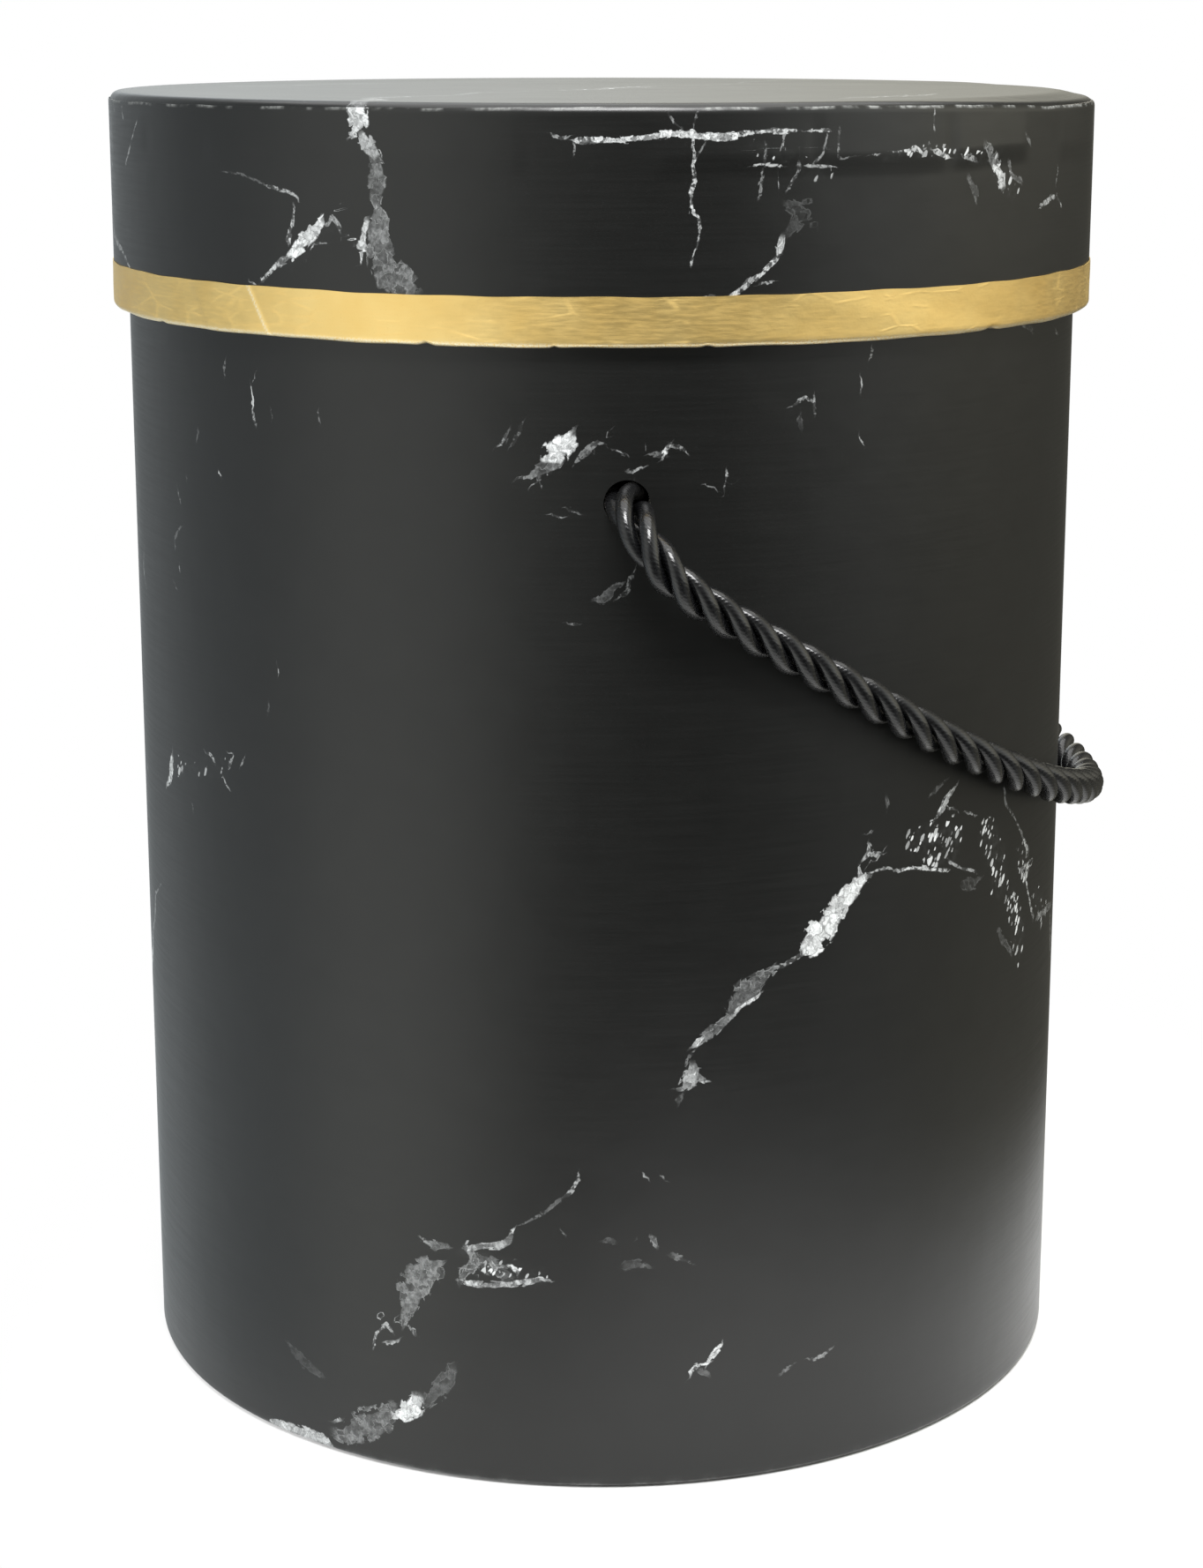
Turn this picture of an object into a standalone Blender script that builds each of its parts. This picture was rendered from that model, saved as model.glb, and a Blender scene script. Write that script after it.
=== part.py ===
"""Round rigid hat box with a deep lift-off lid and a twisted cord handle.

Frame: metres, +Z up. The origin is the centre of the flat base, on the surface the box stands on.
The cord passes through two punched holes, at -Y (front) and +Y (rear), and hangs round the +X side.
The handle turns about the line through both holes. The lid lifts straight up along +Z.
"""

import math

import bmesh
import bpy
from mathutils import Vector

# Driving dimensions, in metres.
BODY_RADIUS = 0.0920  # outside of the body's printed paper
LID_RADIUS = 0.0948  # outside of the lid's printed rim strip
TOTAL_HEIGHT = 0.2494
LID_DEPTH = 0.0403
BAND_WIDTH = 0.0086  # the part of the gold band that shows
HOLE_HEIGHT = 0.1825
HOLE_RADIUS = 0.0040
CORD_RADIUS = 0.0035

# Sheet thicknesses and the clearances between glued layers.
BODY_BOARD = 0.0020
BASE_BOARD = 0.0020
LID_BOARD = 0.0015
PAPER = 0.0003
THIN_PAPER = 0.0002
FOIL = 0.00015
GLUE_GAP = 0.00015
THIN_GAP = 0.0001
REST_GAP = 0.0003  # between the lid's inside and the body's rim
SLIDE_GAP = 0.0004  # between the lid's lining and the body's paper

# How far the papers are turned in or stop short of an edge.
BASE_TURN_IN = 0.0140
RIM_TURN_IN = 0.0140
BASE_COVER_INSET = 0.0030
LINING_SETBACK = 0.0040
TAB_DEPTH = 0.0080
TAB_NOTCH_DEPTH = 0.0015
RIM_STRIP_SETBACK = 0.0012

# The handle's knots, tails and end tapes.
KNOT_RADIUS = 0.0085
KNOT_HALF_LENGTH = 0.0078
KNOT_FACE_CUT = 0.0012  # how much of the rounded knot is flattened against the wall
TAIL_ROUTE = [(0.0745, -0.0090), (0.0728, -0.0150), (0.0724, -0.0220), (0.0733, -0.0290)]
TAPE_LENGTH = 0.0070
TAPE_THICKNESS = 0.0002

# The cord's route outside the wall, from the front hole to the middle of the handle.
# Each point is (bearing in degrees from the front hole round towards +X, distance from the
# box's axis, height above the holes). The rear half mirrors it.
CORD_HALF_ROUTE = [
    (0.0, 0.0877, 0.0000),
    (0.0, 0.0920, 0.0000),
    (0.3, 0.0963, -0.0009),
    (1.2, 0.1000, -0.0040),
    (2.8, 0.1018, -0.0087),
    (5.2, 0.1011, -0.0133),
    (8.5, 0.0994, -0.0175),
    (12.8, 0.0979, -0.0221),
    (18.5, 0.0970, -0.0280),
    (25.5, 0.0966, -0.0350),
    (33.0, 0.0965, -0.0421),
    (41.0, 0.0966, -0.0490),
    (50.0, 0.0969, -0.0556),
    (62.0, 0.0973, -0.0623),
    (76.0, 0.0977, -0.0676),
    (90.0, 0.0979, -0.0697),
]
CORD_POINT_SPACING = 0.0140
CORD_BEND_SPACING = 0.0045  # closer points where the cord turns out of a hole
CORD_BEND_LENGTH = 0.0270
CORD_CURVE_STEPS = 24

SEGMENTS = 72  # sides of every ring and disc
HOLE_SEGMENTS = 24
TAPE_SEGMENTS = 16
CORD_BEVEL_RESOLUTION = 2
MERGE_DISTANCE = 1e-6

# Levels and radii that follow from the driving dimensions.
WALL_OUTER = BODY_RADIUS - PAPER - GLUE_GAP
WALL_INNER = WALL_OUTER - BODY_BOARD
TURN_IN_OUTER = WALL_INNER - GLUE_GAP
LINING_OUTER = TURN_IN_OUTER - PAPER - GLUE_GAP
LINING_INNER = LINING_OUTER - PAPER

UNDER_WRAP = PAPER + GLUE_GAP
BASE_BOTTOM = UNDER_WRAP + PAPER + GLUE_GAP
BASE_TOP = BASE_BOTTOM + BASE_BOARD
FLOOR_LINING_TOP = BASE_TOP + GLUE_GAP + PAPER

LID_TOP_BOARD_TOP = TOTAL_HEIGHT - THIN_PAPER - GLUE_GAP
LID_TOP_BOARD_BOTTOM = LID_TOP_BOARD_TOP - LID_BOARD
LID_DISC_LINING_BOTTOM = LID_TOP_BOARD_BOTTOM - GLUE_GAP - THIN_PAPER
BODY_TOP = LID_DISC_LINING_BOTTOM - REST_GAP
LID_BOTTOM = TOTAL_HEIGHT - LID_DEPTH

RIM_LINING_INNER = BODY_RADIUS + SLIDE_GAP
RIM_BOARD_INNER = RIM_LINING_INNER + THIN_PAPER + THIN_GAP
RIM_STRIP_INNER = LID_RADIUS - THIN_PAPER
TAB_OUTER = RIM_STRIP_INNER - THIN_GAP
RIM_BOARD_OUTER = TAB_OUTER - THIN_PAPER - THIN_GAP
BAND_INNER = LID_RADIUS + THIN_GAP / 2
BAND_TOP = LID_BOTTOM + BAND_WIDTH


def clear_scene():
    for old in list(bpy.data.objects):
        bpy.data.objects.remove(old, do_unlink=True)


def make_material(name, colour, roughness, metallic=0.0):
    material = bpy.data.materials.new(name)
    material.use_nodes = True
    shader = material.node_tree.nodes["Principled BSDF"]
    shader.inputs["Base Color"].default_value = (*colour, 1.0)
    shader.inputs["Roughness"].default_value = roughness
    shader.inputs["Metallic"].default_value = metallic
    return material


def add_object(name, data, material, parent):
    """Puts mesh or curve data in the scene under its body's empty."""
    data.name = name
    data.materials.append(material)
    piece = bpy.data.objects.new(name, data)
    bpy.context.scene.collection.objects.link(piece)
    if parent is not None:
        piece.parent = parent
        piece.matrix_parent_inverse = parent.matrix_world.inverted()
    return piece


def add_body(name, location):
    """An empty that carries one moving group, with its origin on the joint's axis."""
    empty = bpy.data.objects.new(name, None)
    empty.location = location
    bpy.context.scene.collection.objects.link(empty)
    bpy.context.view_layer.update()
    return empty


def finished_mesh(bm, name):
    bmesh.ops.remove_doubles(bm, verts=bm.verts, dist=MERGE_DISTANCE)
    bmesh.ops.recalc_face_normals(bm, faces=bm.faces)
    mesh = bpy.data.meshes.new(name)
    bm.to_mesh(mesh)
    bm.free()
    mesh.shade_smooth()
    mesh.set_sharp_from_angle(angle=math.radians(30))
    return mesh


def sheet_outline(path, thickness):
    """The closed outline of a sheet that follows a folded path of (radius, height) points."""
    points = [Vector(p) for p in path]
    half = thickness / 2
    left, right = [], []
    for i, point in enumerate(points):
        before = (point - points[i - 1]).normalized() if i else None
        after = (points[i + 1] - point).normalized() if i + 1 < len(points) else None
        normals = [Vector((-d.y, d.x)) for d in (before, after) if d is not None]
        mean = sum(normals, Vector((0.0, 0.0))).normalized()
        offset = mean * (half / mean.dot(normals[0]))
        left.append(point + offset)
        right.append(point - offset)
    return left + right[::-1]


def turned_mesh(name, outline, segments=SEGMENTS):
    """A ring: the closed (radius, height) outline spun once round the Z axis."""
    bm = bmesh.new()
    corners = [bm.verts.new((radius, 0.0, height)) for radius, height in outline]
    edges = [bm.edges.new((corners[i - 1], corners[i])) for i in range(len(corners))]
    bmesh.ops.spin(
        bm,
        geom=corners + edges,
        axis=(0.0, 0.0, 1.0),
        cent=(0.0, 0.0, 0.0),
        angle=math.tau,
        steps=segments,
        use_merge=True,
    )
    return finished_mesh(bm, name)


def ring(name, inner, outer, bottom, top, material, parent):
    outline = [(inner, bottom), (outer, bottom), (outer, top), (inner, top)]
    return add_object(name, turned_mesh(name, outline), material, parent)


def disc(name, radius, bottom, top, material, parent):
    bm = bmesh.new()
    bmesh.ops.create_cone(
        bm, cap_ends=True, segments=SEGMENTS, radius1=radius, radius2=radius, depth=top - bottom
    )
    bmesh.ops.translate(bm, verts=bm.verts, vec=(0.0, 0.0, (top + bottom) / 2))
    return add_object(name, finished_mesh(bm, name), material, parent)


def folded_ring(name, path, thickness, material, parent):
    mesh = turned_mesh(name, sheet_outline(path, thickness))
    return add_object(name, mesh, material, parent)


def notch_tabs(mesh, skirt_bottom, notch_top):
    """Cuts the turned-down skirt into tabs by lifting every second pair of its lower corners."""
    step = math.tau / SEGMENTS
    for vertex in mesh.vertices:
        if vertex.co.z < skirt_bottom + TAB_NOTCH_DEPTH:
            place = round(math.atan2(vertex.co.y, vertex.co.x) / step)
            if place % 2 == 0:
                vertex.co.z = notch_top


def hole_cutter():
    """One long cylinder that punches both cord holes through every layer of the wall."""
    bm = bmesh.new()
    bmesh.ops.create_cone(
        bm,
        cap_ends=True,
        segments=HOLE_SEGMENTS,
        radius1=HOLE_RADIUS,
        radius2=HOLE_RADIUS,
        depth=2.2 * BODY_RADIUS,
    )
    mesh = bpy.data.meshes.new("cord_hole_cutter")
    bm.to_mesh(mesh)
    bm.free()
    cutter = bpy.data.objects.new("cord_hole_cutter", mesh)
    cutter.location = (0.0, 0.0, HOLE_HEIGHT)
    cutter.rotation_euler = (math.pi / 2, 0.0, 0.0)
    cutter.hide_render = True
    cutter.display_type = "WIRE"
    bpy.context.scene.collection.objects.link(cutter)
    return cutter


def punch(piece, cutter):
    cut = piece.modifiers.new("cord_holes", "BOOLEAN")
    cut.operation = "DIFFERENCE"
    cut.solver = "EXACT"
    cut.object = cutter


def smooth_route(points):
    """Points read closely along a smooth curve that passes through every route point."""
    knots = [0.0]
    for a, b in zip(points, points[1:]):
        knots.append(knots[-1] + math.sqrt((b - a).length))
    ahead = points[0] * 2 - points[1]
    behind = points[-1] * 2 - points[-2]
    control = [ahead, *points, behind]
    times = [2 * knots[0] - knots[1], *knots, 2 * knots[-1] - knots[-2]]
    line = []
    for i in range(1, len(control) - 2):
        for step in range(CORD_CURVE_STEPS):
            t = times[i] + (times[i + 1] - times[i]) * step / CORD_CURVE_STEPS
            line.append(between(control[i - 1 : i + 3], times[i - 1 : i + 3], t))
    line.append(points[-1].copy())
    return line


def between(p, t, now):
    """Barry and Goldman's evaluation of a Catmull-Rom curve through four points."""
    a = [p[i] * ((t[i + 1] - now) / (t[i + 1] - t[i])) + p[i + 1] * ((now - t[i]) / (t[i + 1] - t[i]))
         for i in range(3)]
    b = [a[i] * ((t[i + 2] - now) / (t[i + 2] - t[i])) + a[i + 1] * ((now - t[i]) / (t[i + 2] - t[i]))
         for i in range(2)]
    return b[0] * ((t[2] - now) / (t[2] - t[1])) + b[1] * ((now - t[1]) / (t[2] - t[1]))


def thinned(line):
    """Keeps points at the cord's spacing, and closer ones near both ends, where it bends."""
    lengths = [0.0]
    for a, b in zip(line, line[1:]):
        lengths.append(lengths[-1] + (b - a).length)
    total = lengths[-1]
    kept = [line[0]]
    last = 0.0
    for point, along in zip(line[1:-1], lengths[1:-1]):
        near_end = min(along, total - along) < CORD_BEND_LENGTH
        spacing = CORD_BEND_SPACING if near_end else CORD_POINT_SPACING
        if along - last >= spacing and total - along >= spacing / 2:
            kept.append(point)
            last = along
    kept.append(line[-1])
    return kept


def cord_route():
    """The whole route, front hole to rear hole, in the box's frame."""
    front = []
    for bearing, radius, rise in CORD_HALF_ROUTE:
        angle = math.radians(bearing)
        x, y = radius * math.sin(angle), -radius * math.cos(angle)
        front.append(Vector((x, y, HOLE_HEIGHT + rise)))
    rear = [Vector((p.x, -p.y, p.z)) for p in reversed(front[:-1])]
    return front + rear


def cord_tube(name, points, material, parent):
    """A plain tube with filled ends along the points."""
    curve = bpy.data.curves.new(name, "CURVE")
    curve.dimensions = "3D"
    curve.bevel_depth = CORD_RADIUS
    curve.bevel_resolution = CORD_BEVEL_RESOLUTION
    curve.use_fill_caps = True
    spline = curve.splines.new("POLY")
    spline.points.add(len(points) - 1)
    for target, point in zip(spline.points, points):
        target.co = (*point, 1.0)
    return add_object(name, curve, material, parent)


def knot(name, side, material, parent):
    """A rounded overhand knot, flattened where it is pulled against the lining."""
    face = side * (LINING_INNER - 0.0013)
    centre = face - side * (KNOT_HALF_LENGTH - KNOT_FACE_CUT)
    bm = bmesh.new()
    bmesh.ops.create_uvsphere(bm, u_segments=20, v_segments=12, radius=1.0)
    bmesh.ops.scale(bm, verts=bm.verts, vec=(KNOT_RADIUS, KNOT_HALF_LENGTH, KNOT_RADIUS))
    bmesh.ops.translate(bm, verts=bm.verts, vec=(0.0, centre, HOLE_HEIGHT))
    cut = bmesh.ops.bisect_plane(
        bm,
        geom=bm.verts[:] + bm.edges[:] + bm.faces[:],
        plane_co=(0.0, face, HOLE_HEIGHT),
        plane_no=(0.0, side, 0.0),
        clear_outer=True,
    )
    rim = [item for item in cut["geom_cut"] if isinstance(item, bmesh.types.BMEdge)]
    bmesh.ops.edgeloop_fill(bm, edges=rim)
    return add_object(name, finished_mesh(bm, name), material, parent)


def tape_sleeve(name, start, end, material, parent):
    """Clear tape wrapped round the end of a cord tail, as an open sleeve."""
    inner = CORD_RADIUS + THIN_GAP
    outer = inner + TAPE_THICKNESS
    length = (end - start).length
    outline = [(inner, 0.0), (outer, 0.0), (outer, length), (inner, length)]
    sleeve = add_object(name, turned_mesh(name, outline, TAPE_SEGMENTS), material, None)
    sleeve.location = start
    sleeve.rotation_euler = (end - start).to_track_quat("Z", "Y").to_euler()
    bpy.context.view_layer.update()
    placed = sleeve.matrix_world.copy()
    sleeve.parent = parent
    sleeve.matrix_parent_inverse = parent.matrix_world.inverted()
    sleeve.matrix_world = placed
    return sleeve


def build_body(parent):
    board = make_material("greyboard", (0.42, 0.40, 0.36), 0.90)
    print_paper = make_material("black_marble_paper", (0.020, 0.021, 0.020), 0.42)
    lining = make_material("lining_paper", (0.80, 0.78, 0.73), 0.75)
    black = make_material("black_paper", (0.022, 0.022, 0.022), 0.60)
    cutter = hole_cutter()

    wall = ring(
        "body_wall", WALL_INNER, WALL_OUTER, BASE_BOTTOM, BODY_TOP - PAPER - GLUE_GAP, board, parent
    )
    punch(wall, cutter)

    outer_mid = BODY_RADIUS - PAPER / 2
    inner_mid = TURN_IN_OUTER - PAPER / 2
    under_mid = UNDER_WRAP + PAPER / 2
    top_mid = BODY_TOP - PAPER / 2
    wrap_path = [
        (BODY_RADIUS - BASE_TURN_IN, under_mid),
        (outer_mid, under_mid),
        (outer_mid, top_mid),
        (inner_mid, top_mid),
        (inner_mid, top_mid - RIM_TURN_IN),
    ]
    wrap = folded_ring("body_wrap", wrap_path, PAPER, print_paper, parent)
    punch(wrap, cutter)

    lining_top = BODY_TOP - LINING_SETBACK
    inside = ring(
        "body_lining", LINING_INNER, LINING_OUTER, FLOOR_LINING_TOP, lining_top, lining, parent
    )
    punch(inside, cutter)

    disc("base_board", WALL_INNER - REST_GAP, BASE_BOTTOM, BASE_TOP, board, parent)
    floor_bottom = BASE_TOP + GLUE_GAP
    disc("base_lining", LINING_INNER - REST_GAP, floor_bottom, FLOOR_LINING_TOP, lining, parent)
    disc("base_cover", BODY_RADIUS - BASE_COVER_INSET, 0.0, PAPER, black, parent)


def build_lid(parent):
    board = make_material("lid_greyboard", (0.42, 0.40, 0.36), 0.90)
    print_paper = make_material("lid_marble_paper", (0.020, 0.021, 0.020), 0.38)
    lining = make_material("lid_lining_paper", (0.80, 0.78, 0.73), 0.75)
    gold = make_material("gold_foil", (0.78, 0.58, 0.24), 0.28, 1.0)

    rim_bottom = LID_BOTTOM + FOIL + GLUE_GAP
    rim_top = LID_TOP_BOARD_BOTTOM - GLUE_GAP
    ring("lid_rim", RIM_BOARD_INNER, RIM_BOARD_OUTER, rim_bottom, rim_top, board, parent)
    disc("lid_board", RIM_BOARD_OUTER, LID_TOP_BOARD_BOTTOM, LID_TOP_BOARD_TOP, board, parent)

    skirt_mid = TAB_OUTER - THIN_PAPER / 2
    top_mid = TOTAL_HEIGHT - THIN_PAPER / 2
    skirt_bottom = TOTAL_HEIGHT - TAB_DEPTH
    half = THIN_PAPER / 2
    cap = [
        (0.0, top_mid + half),
        (0.0, top_mid - half),
        (skirt_mid - half, top_mid - half),
        (skirt_mid - half, skirt_bottom),
        (skirt_mid + half, skirt_bottom),
        (skirt_mid + half, top_mid + half),
    ]
    cap_mesh = turned_mesh("lid_top_paper", cap)
    notch_tabs(cap_mesh, skirt_bottom, TOTAL_HEIGHT - TAB_NOTCH_DEPTH)
    add_object("lid_top_paper", cap_mesh, print_paper, parent)

    strip_top = TOTAL_HEIGHT - RIM_STRIP_SETBACK
    ring("lid_rim_wrap", RIM_STRIP_INNER, LID_RADIUS, rim_bottom, strip_top, print_paper, parent)

    band_mid = BAND_INNER + FOIL / 2
    band_path = [
        (band_mid, BAND_TOP),
        (band_mid, LID_BOTTOM + FOIL / 2),
        (RIM_BOARD_INNER, LID_BOTTOM + FOIL / 2),
    ]
    folded_ring("gold_band", band_path, FOIL, gold, parent)

    lining_top = LID_DISC_LINING_BOTTOM - THIN_GAP
    rim_lining_outer = RIM_LINING_INNER + THIN_PAPER
    ring(
        "lid_rim_lining", RIM_LINING_INNER, rim_lining_outer, rim_bottom, lining_top, lining, parent
    )
    disc_top = LID_DISC_LINING_BOTTOM + THIN_PAPER
    disc("lid_lining_disc", rim_lining_outer, LID_DISC_LINING_BOTTOM, disc_top, lining, parent)


def build_handle(parent):
    satin = make_material("satin_cord", (0.016, 0.016, 0.017), 0.45)
    tape = make_material("clear_tape", (0.55, 0.55, 0.52), 0.20)

    cord_tube("handle_cord", thinned(smooth_route(cord_route())), satin, parent)
    for label, side in (("front", -1), ("rear", 1)):
        knot(f"{label}_knot", side, satin, parent)
        route = [Vector((0.0, side * reach, HOLE_HEIGHT + rise)) for reach, rise in TAIL_ROUTE]
        cord_tube(f"{label}_cord_tail", route, satin, parent)
        down = (route[-1] - route[-2]).normalized()
        tape_sleeve(f"{label}_end_tape", route[-1] - down * TAPE_LENGTH, route[-1], tape, parent)


def main():
    clear_scene()
    build_body(add_body("box", (0.0, 0.0, 0.0)))
    build_lid(add_body("lid", (0.0, 0.0, LID_BOTTOM)))
    build_handle(add_body("handle", (0.0, 0.0, HOLE_HEIGHT)))


main()
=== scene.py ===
"""Looks of a round black marble-paper hat box with a gold-edged lid and a twisted cord handle.

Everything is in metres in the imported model's frame: +Z up, the front hole at -Y, the cord round +X.
A bearing is the angle round the box's axis, from the front hole (0) towards +X (90 degrees).
"""

import math

import bmesh
import bpy
import numpy as np
from mathutils import Matrix, Vector


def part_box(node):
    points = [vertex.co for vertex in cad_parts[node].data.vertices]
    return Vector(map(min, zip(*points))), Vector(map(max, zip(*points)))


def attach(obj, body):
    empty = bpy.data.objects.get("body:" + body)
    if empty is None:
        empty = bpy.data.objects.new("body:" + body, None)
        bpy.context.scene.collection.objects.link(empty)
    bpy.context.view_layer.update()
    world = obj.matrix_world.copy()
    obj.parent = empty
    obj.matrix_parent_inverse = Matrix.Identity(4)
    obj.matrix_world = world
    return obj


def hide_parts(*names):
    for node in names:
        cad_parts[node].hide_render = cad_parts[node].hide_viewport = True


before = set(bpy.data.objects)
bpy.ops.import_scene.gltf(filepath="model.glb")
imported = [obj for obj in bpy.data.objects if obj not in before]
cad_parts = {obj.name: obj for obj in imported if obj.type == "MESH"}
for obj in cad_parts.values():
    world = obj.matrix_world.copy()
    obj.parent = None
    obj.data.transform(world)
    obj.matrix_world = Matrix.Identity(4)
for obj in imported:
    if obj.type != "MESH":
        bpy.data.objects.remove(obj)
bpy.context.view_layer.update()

MM = 0.001

# Sheet thicknesses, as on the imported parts.
PAPER = 0.0003
THIN_PAPER = 0.0002
FOIL = 0.00015
BODY_BOARD = 0.0020

# The body.
HOLE_RADIUS = 0.0040
HOLE_SIDES = 48
TURN_IN = 0.0140  # of the paper, inside the rim and under the base
RIM_FOLD = 0.0026  # across the rim, from the middle of the paper outside to the middle inside
# Where sheets lap over themselves: bearings where the lap starts to rise, is whole, and is cut.
BODY_LAP = (166.0, 168.0, 176.0)
LINING_LAP = (150.0, 152.0, 162.0)
LID_LINING_LAP = (-140.0, -138.5, -130.0)

# The lid.
LID_CORNER = 0.0017  # radius of its rounded upper corner
TAB_LENGTH = 0.0080  # how far the top paper is turned down over the rim
TAB_DEPTH = 0.0085  # how far below the top the tabs' lower edges show through the rim strip
STRIP_LOW = 0.0012  # of the strip's lower edge above the lid's, under the foil
STRIP_HIGH = 0.0004  # of the strip's upper edge below the lid's, before the edge is shaped
LINING_GAP = 0.0001  # between the rim's lining and its board
BOARD_CLEARANCE = 0.0006  # from the waved paper down to the board under it
# The top paper's glued-down tabs, which show through the rim strip: (from, to, mm at the lower edge).
TABS = [
    (-78, -63, 0.10), (-49, -11, 0.09), (3, 19, 0.24), (20, 36, 0.28), (37, 49.5, 0.34), (58, 74, 0.12),
]
TABS += [(92 + 22 * k, 106 + 22 * k, 0.10 + 0.06 * (k % 3)) for k in range(8)]
# How far the strip's cut edge lies below the lid's top: (bearing, mm).
STRIP_EDGE = [
    (-180, 0.9), (-100, 1.2), (-60, 1.2), (-30, 0.8), (-8, 0.55), (25, 0.55), (42, 0.9),
    (54, 1.7), (80, 1.8), (120, 1.0), (180, 0.9),
]
# The upper corner is pressed down on the right: the bearings over which that starts and ends.
PRESSED_FROM = (22.0, 62.0)
PRESSED_TO = (95.0, 125.0)
PRESSED_DEPTH = 0.0011

# The gold foil.
FOIL_CORNER = 0.0009
RIBBON_END = (-43.0, -40.0)  # its slanting cut end: bearings at its top and at its bottom
RIBBON_LAP = 10.0  # degrees by which it laps over its own start
# Nicks in its lower fold: (bearing, half-width in degrees, depth in mm).
BAND_NICKS = [
    (-21.0, 0.5, 0.5), (-7.5, 0.3, 0.25), (8.2, 0.5, 0.3), (44.0, 0.8, 0.4),
    (-60.0, 0.6, 0.3), (75.0, 0.5, 0.3), (118.0, 0.6, 0.4), (-133.0, 0.7, 0.4),
]

# The cord.
CORD_RADIUS = 0.0035
LAY = 0.0212  # length of one full turn of a strand
LAY_AT_HOLE = 0.0290  # the cord is opened up where it bends out of a hole
STRAND_RADIUS = 0.00152
STRAND_OFFSET = 0.00198
STRAND_OFFSET_AT_HOLE = 0.00225
LOOSE_LENGTH = 0.026  # how far along from a hole the cord is opened up
FIRST_STRAND = 0.9  # where the first strand starts round the cord, in radians
STRANDS = 3
STRAND_SIDES = 16
RING_SPACING = 0.0008
CURVE_STEPS = 24
KNOT_SCALE = 0.86  # how far the cord is pulled thin in its knots
KNOT_STEPS = 22
CORD_SHARP_ANGLE = 60

# The cord's route outside the wall, from the front hole to the middle of the handle: (bearing in
# degrees, distance from the axis, height above the holes). The rear half mirrors it.
CORD_HALF_ROUTE = [
    (0.0, 0.0877, 0.0000),
    (0.0, 0.0920, 0.0000),
    (0.3, 0.0963, -0.0009),
    (1.2, 0.1000, -0.0040),
    (2.8, 0.1018, -0.0087),
    (5.2, 0.1011, -0.0133),
    (8.5, 0.0994, -0.0175),
    (12.8, 0.0979, -0.0221),
    (18.5, 0.0970, -0.0280),
    (25.5, 0.0966, -0.0350),
    (33.0, 0.0965, -0.0421),
    (41.0, 0.0966, -0.0490),
    (50.0, 0.0969, -0.0556),
    (62.0, 0.0973, -0.0623),
    (76.0, 0.0977, -0.0676),
    (90.0, 0.0979, -0.0697),
]

# The camera stands a little to the left of the front hole and looks slightly down.
CAMERA_DISTANCE = 0.6093
CAMERA_HEIGHT = 0.2649
CAMERA_BEARING = math.radians(-2.7)
CAMERA_PITCH = math.radians(12.84)
CAMERA_LENS = 70.57
CAMERA_SHIFT = -0.049

FLOOR_GREY = 0.80
FLOOR_CENTRE = (0.045, -0.05, 0.0)
FLOOR_SQUEEZE = (1.7, 1.0, 1.0)  # the floor fades away sooner to the sides
FLOOR_FADE = (0.08, 0.29)  # distances from its centre between which the floor fades away

# What the box mirrors at each bearing: (bearing, brightness at floor level, at eye level, tint).
# The studio is bright on the left, dim in front, and has a bright window on the right at eye level.
COOL = (0.93, 1.00, 1.03)
EVEN = (0.98, 1.00, 0.96)
WARM = (1.03, 1.00, 0.84)
WALLS = [
    (-180, 0.95, 1.25, EVEN), (-170, 0.85, 1.30, COOL), (-158, 0.32, 0.50, COOL),
    (-139, 0.46, 0.50, COOL), (-115, 0.46, 0.42, COOL), (-91, 0.52, 0.50, COOL),
    (-63, 1.00, 1.20, EVEN), (-39, 0.88, 1.15, EVEN), (-16, 0.26, 0.34, EVEN),
    (1, 0.08, 0.14, EVEN), (23, 0.04, 0.25, EVEN), (37, 0.08, 0.90, EVEN),
    (62, 0.26, 1.85, EVEN), (86, 0.24, 1.72, WARM), (105, 0.24, 1.00, WARM),
    (130, 0.14, 0.30, WARM), (155, 0.09, 0.05, WARM), (169, 0.40, 0.95, WARM),
    (180, 0.95, 1.25, EVEN),
]
# The studio's brightness by the height of the direction looked in, as the direction's z: the heights
# between which it changes, and the factors there.
FLOOR_TO_EYE = (-0.10, 0.03)
OVERHEAD = (0.30, 0.75, 1.0, 0.65)
UNDERFOOT = (-0.40, -0.20, 1.55, 1.0)

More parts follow.
